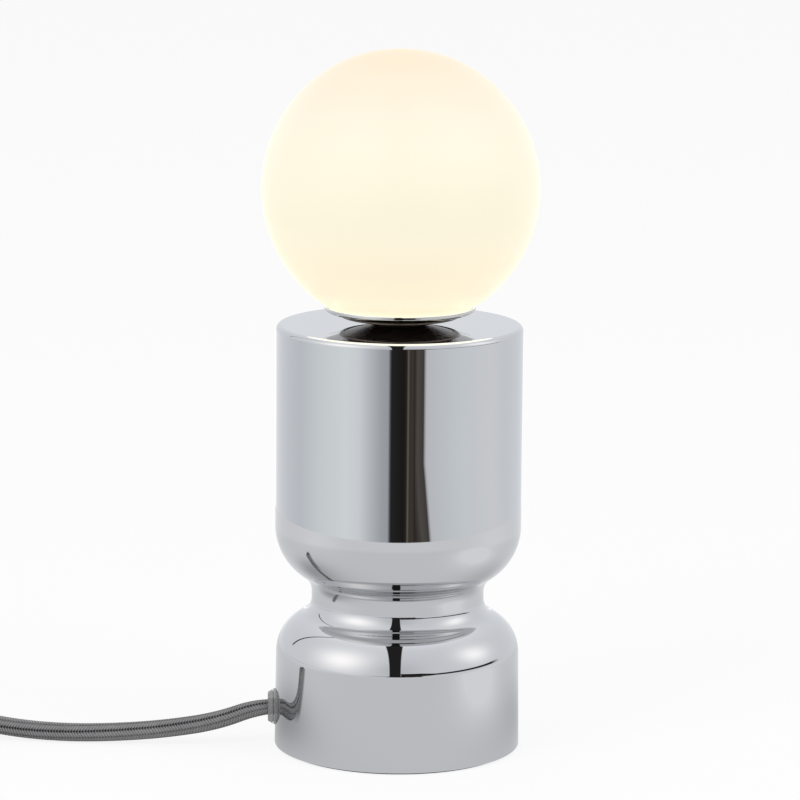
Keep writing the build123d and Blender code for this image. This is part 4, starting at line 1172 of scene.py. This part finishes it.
def wallColour(finish, azimuth, fall):
    # Colours by azimuth; far enough below the horizon, those to the right slide further right
    slide = studio["slide"]
    most = finish.clamp((fall - slide["below"]) * slide["rate"], 0.0, slide["most"]) * (math.pi / 180)
    shift = finish.soft(azimuth - math.radians(slide["from"]), math.radians(slide["soft"])) * most
    stops = [((angle + 180) / 360, lifted(colour)) for angle, colour in studio["walls"]]
    place = (azimuth - shift) / (2 * math.pi) + 0.5
    return finish.node("ShaderNodeValToRGB", {"stops": stops}, {"Fac": place})


def skyColour(finish, direction):
    # A pale sky, dimmed in front, with soft boxes in it
    (away, height), reach, loss = studio["frontDim"]
    dim = finish.lobe(direction, lookWay(away, height), math.radians(reach)) * loss
    sky = finish.blend(dim, lifted(studio["sky"]), (0.0, 0.0, 0.0))
    for (away, height), reach, light in studio["boxes"]:
        spot = finish.lobe(direction, lookWay(away, height), math.radians(reach))
        sky = finish.add(spot, sky, lifted(light))
    return sky


def darkShapes(finish, x, front, z, azimuth):
    # The gap in front of the lamp, the tapering line along the horizon, and the stand behind
    gap, line, stand = studio["gap"], studio["line"], studio["stand"]
    slot = finish.between(x, gap["left"], gap["right"], gap["soft"], gap["soft"])
    slot = slot * finish.soft(front - gap["front"], gap["frontSoft"])
    past = finish.clamp((azimuth - math.radians(line["taperFrom"])) * line["taperRate"])
    half = line["half"] - past * line["taper"]
    strip = finish.soft(half - (z - line["level"]).maths("ABSOLUTE"), line["soft"])
    strip = strip * finish.between(azimuth, math.radians(line["left"]), math.radians(line["right"]),
                                   line["leftSoft"], line["rightSoft"])
    aside = (azimuth - math.radians(stand["azimuth"])).maths("ABSOLUTE")
    post = finish.soft(math.radians(stand["half"]) - aside, stand["soft"])
    post = post * finish.between(z, stand["low"], stand["high"], stand["lowSoft"], stand["highSoft"])
    return slot.maths("MAXIMUM", strip).maths("MAXIMUM", post)


def studioColour(finish, direction):
    # Walls below the horizon, and above it the sky with the dark shapes before it
    x, y, z = finish.parts(direction)
    front, fall = y * -1, z * -1
    azimuth = x.maths("ARCTAN2", front)
    walls = wallColour(finish, azimuth, fall)
    above = finish.blend(darkShapes(finish, x, front, z, azimuth), skyColour(finish, direction),
                         studio["dark"])
    return finish.blend(finish.soft(fall - studio["horizon"], studio["horizonSoft"]), above, walls)


def makeWorld():
    world = bpy.data.worlds.new("paleStudio")
    bpy.context.scene.world = world
    finish = Finish(world)
    direction = finish.node("ShaderNodeTexCoord", out=0)
    camera, glossy, through = finish.rays()
    lit = finish.blend(glossy, stage["worldLight"], studioColour(finish, direction))
    shown = finish.blend(finish.clamp(camera + through), lit, (1.0, 1.0, 1.0))
    finish.close(finish.node("ShaderNodeBackground", {}, {"Color": shown, "Strength": 1.0}),
                 "ShaderNodeOutputWorld")


def addLamp(name, place, size, power):
    data = bpy.data.lights.new(name, "AREA")
    data.shape = "DISK"
    data.size = size
    data.energy = power
    lamp = bpy.data.objects.new(name, data)
    bpy.context.scene.collection.objects.link(lamp)
    lamp.location = place
    lamp.rotation_mode = "QUATERNION"
    lamp.rotation_quaternion = (Vector(lampsAim) - Vector(place)).to_track_quat("-Z", "Y")
    lamp.visible_glossy = False


makeStage()
makeWorld()
for name, lamp in lamps.items():
    addLamp(name, **lamp)
bpy.context.scene.view_settings.view_transform = "Standard"
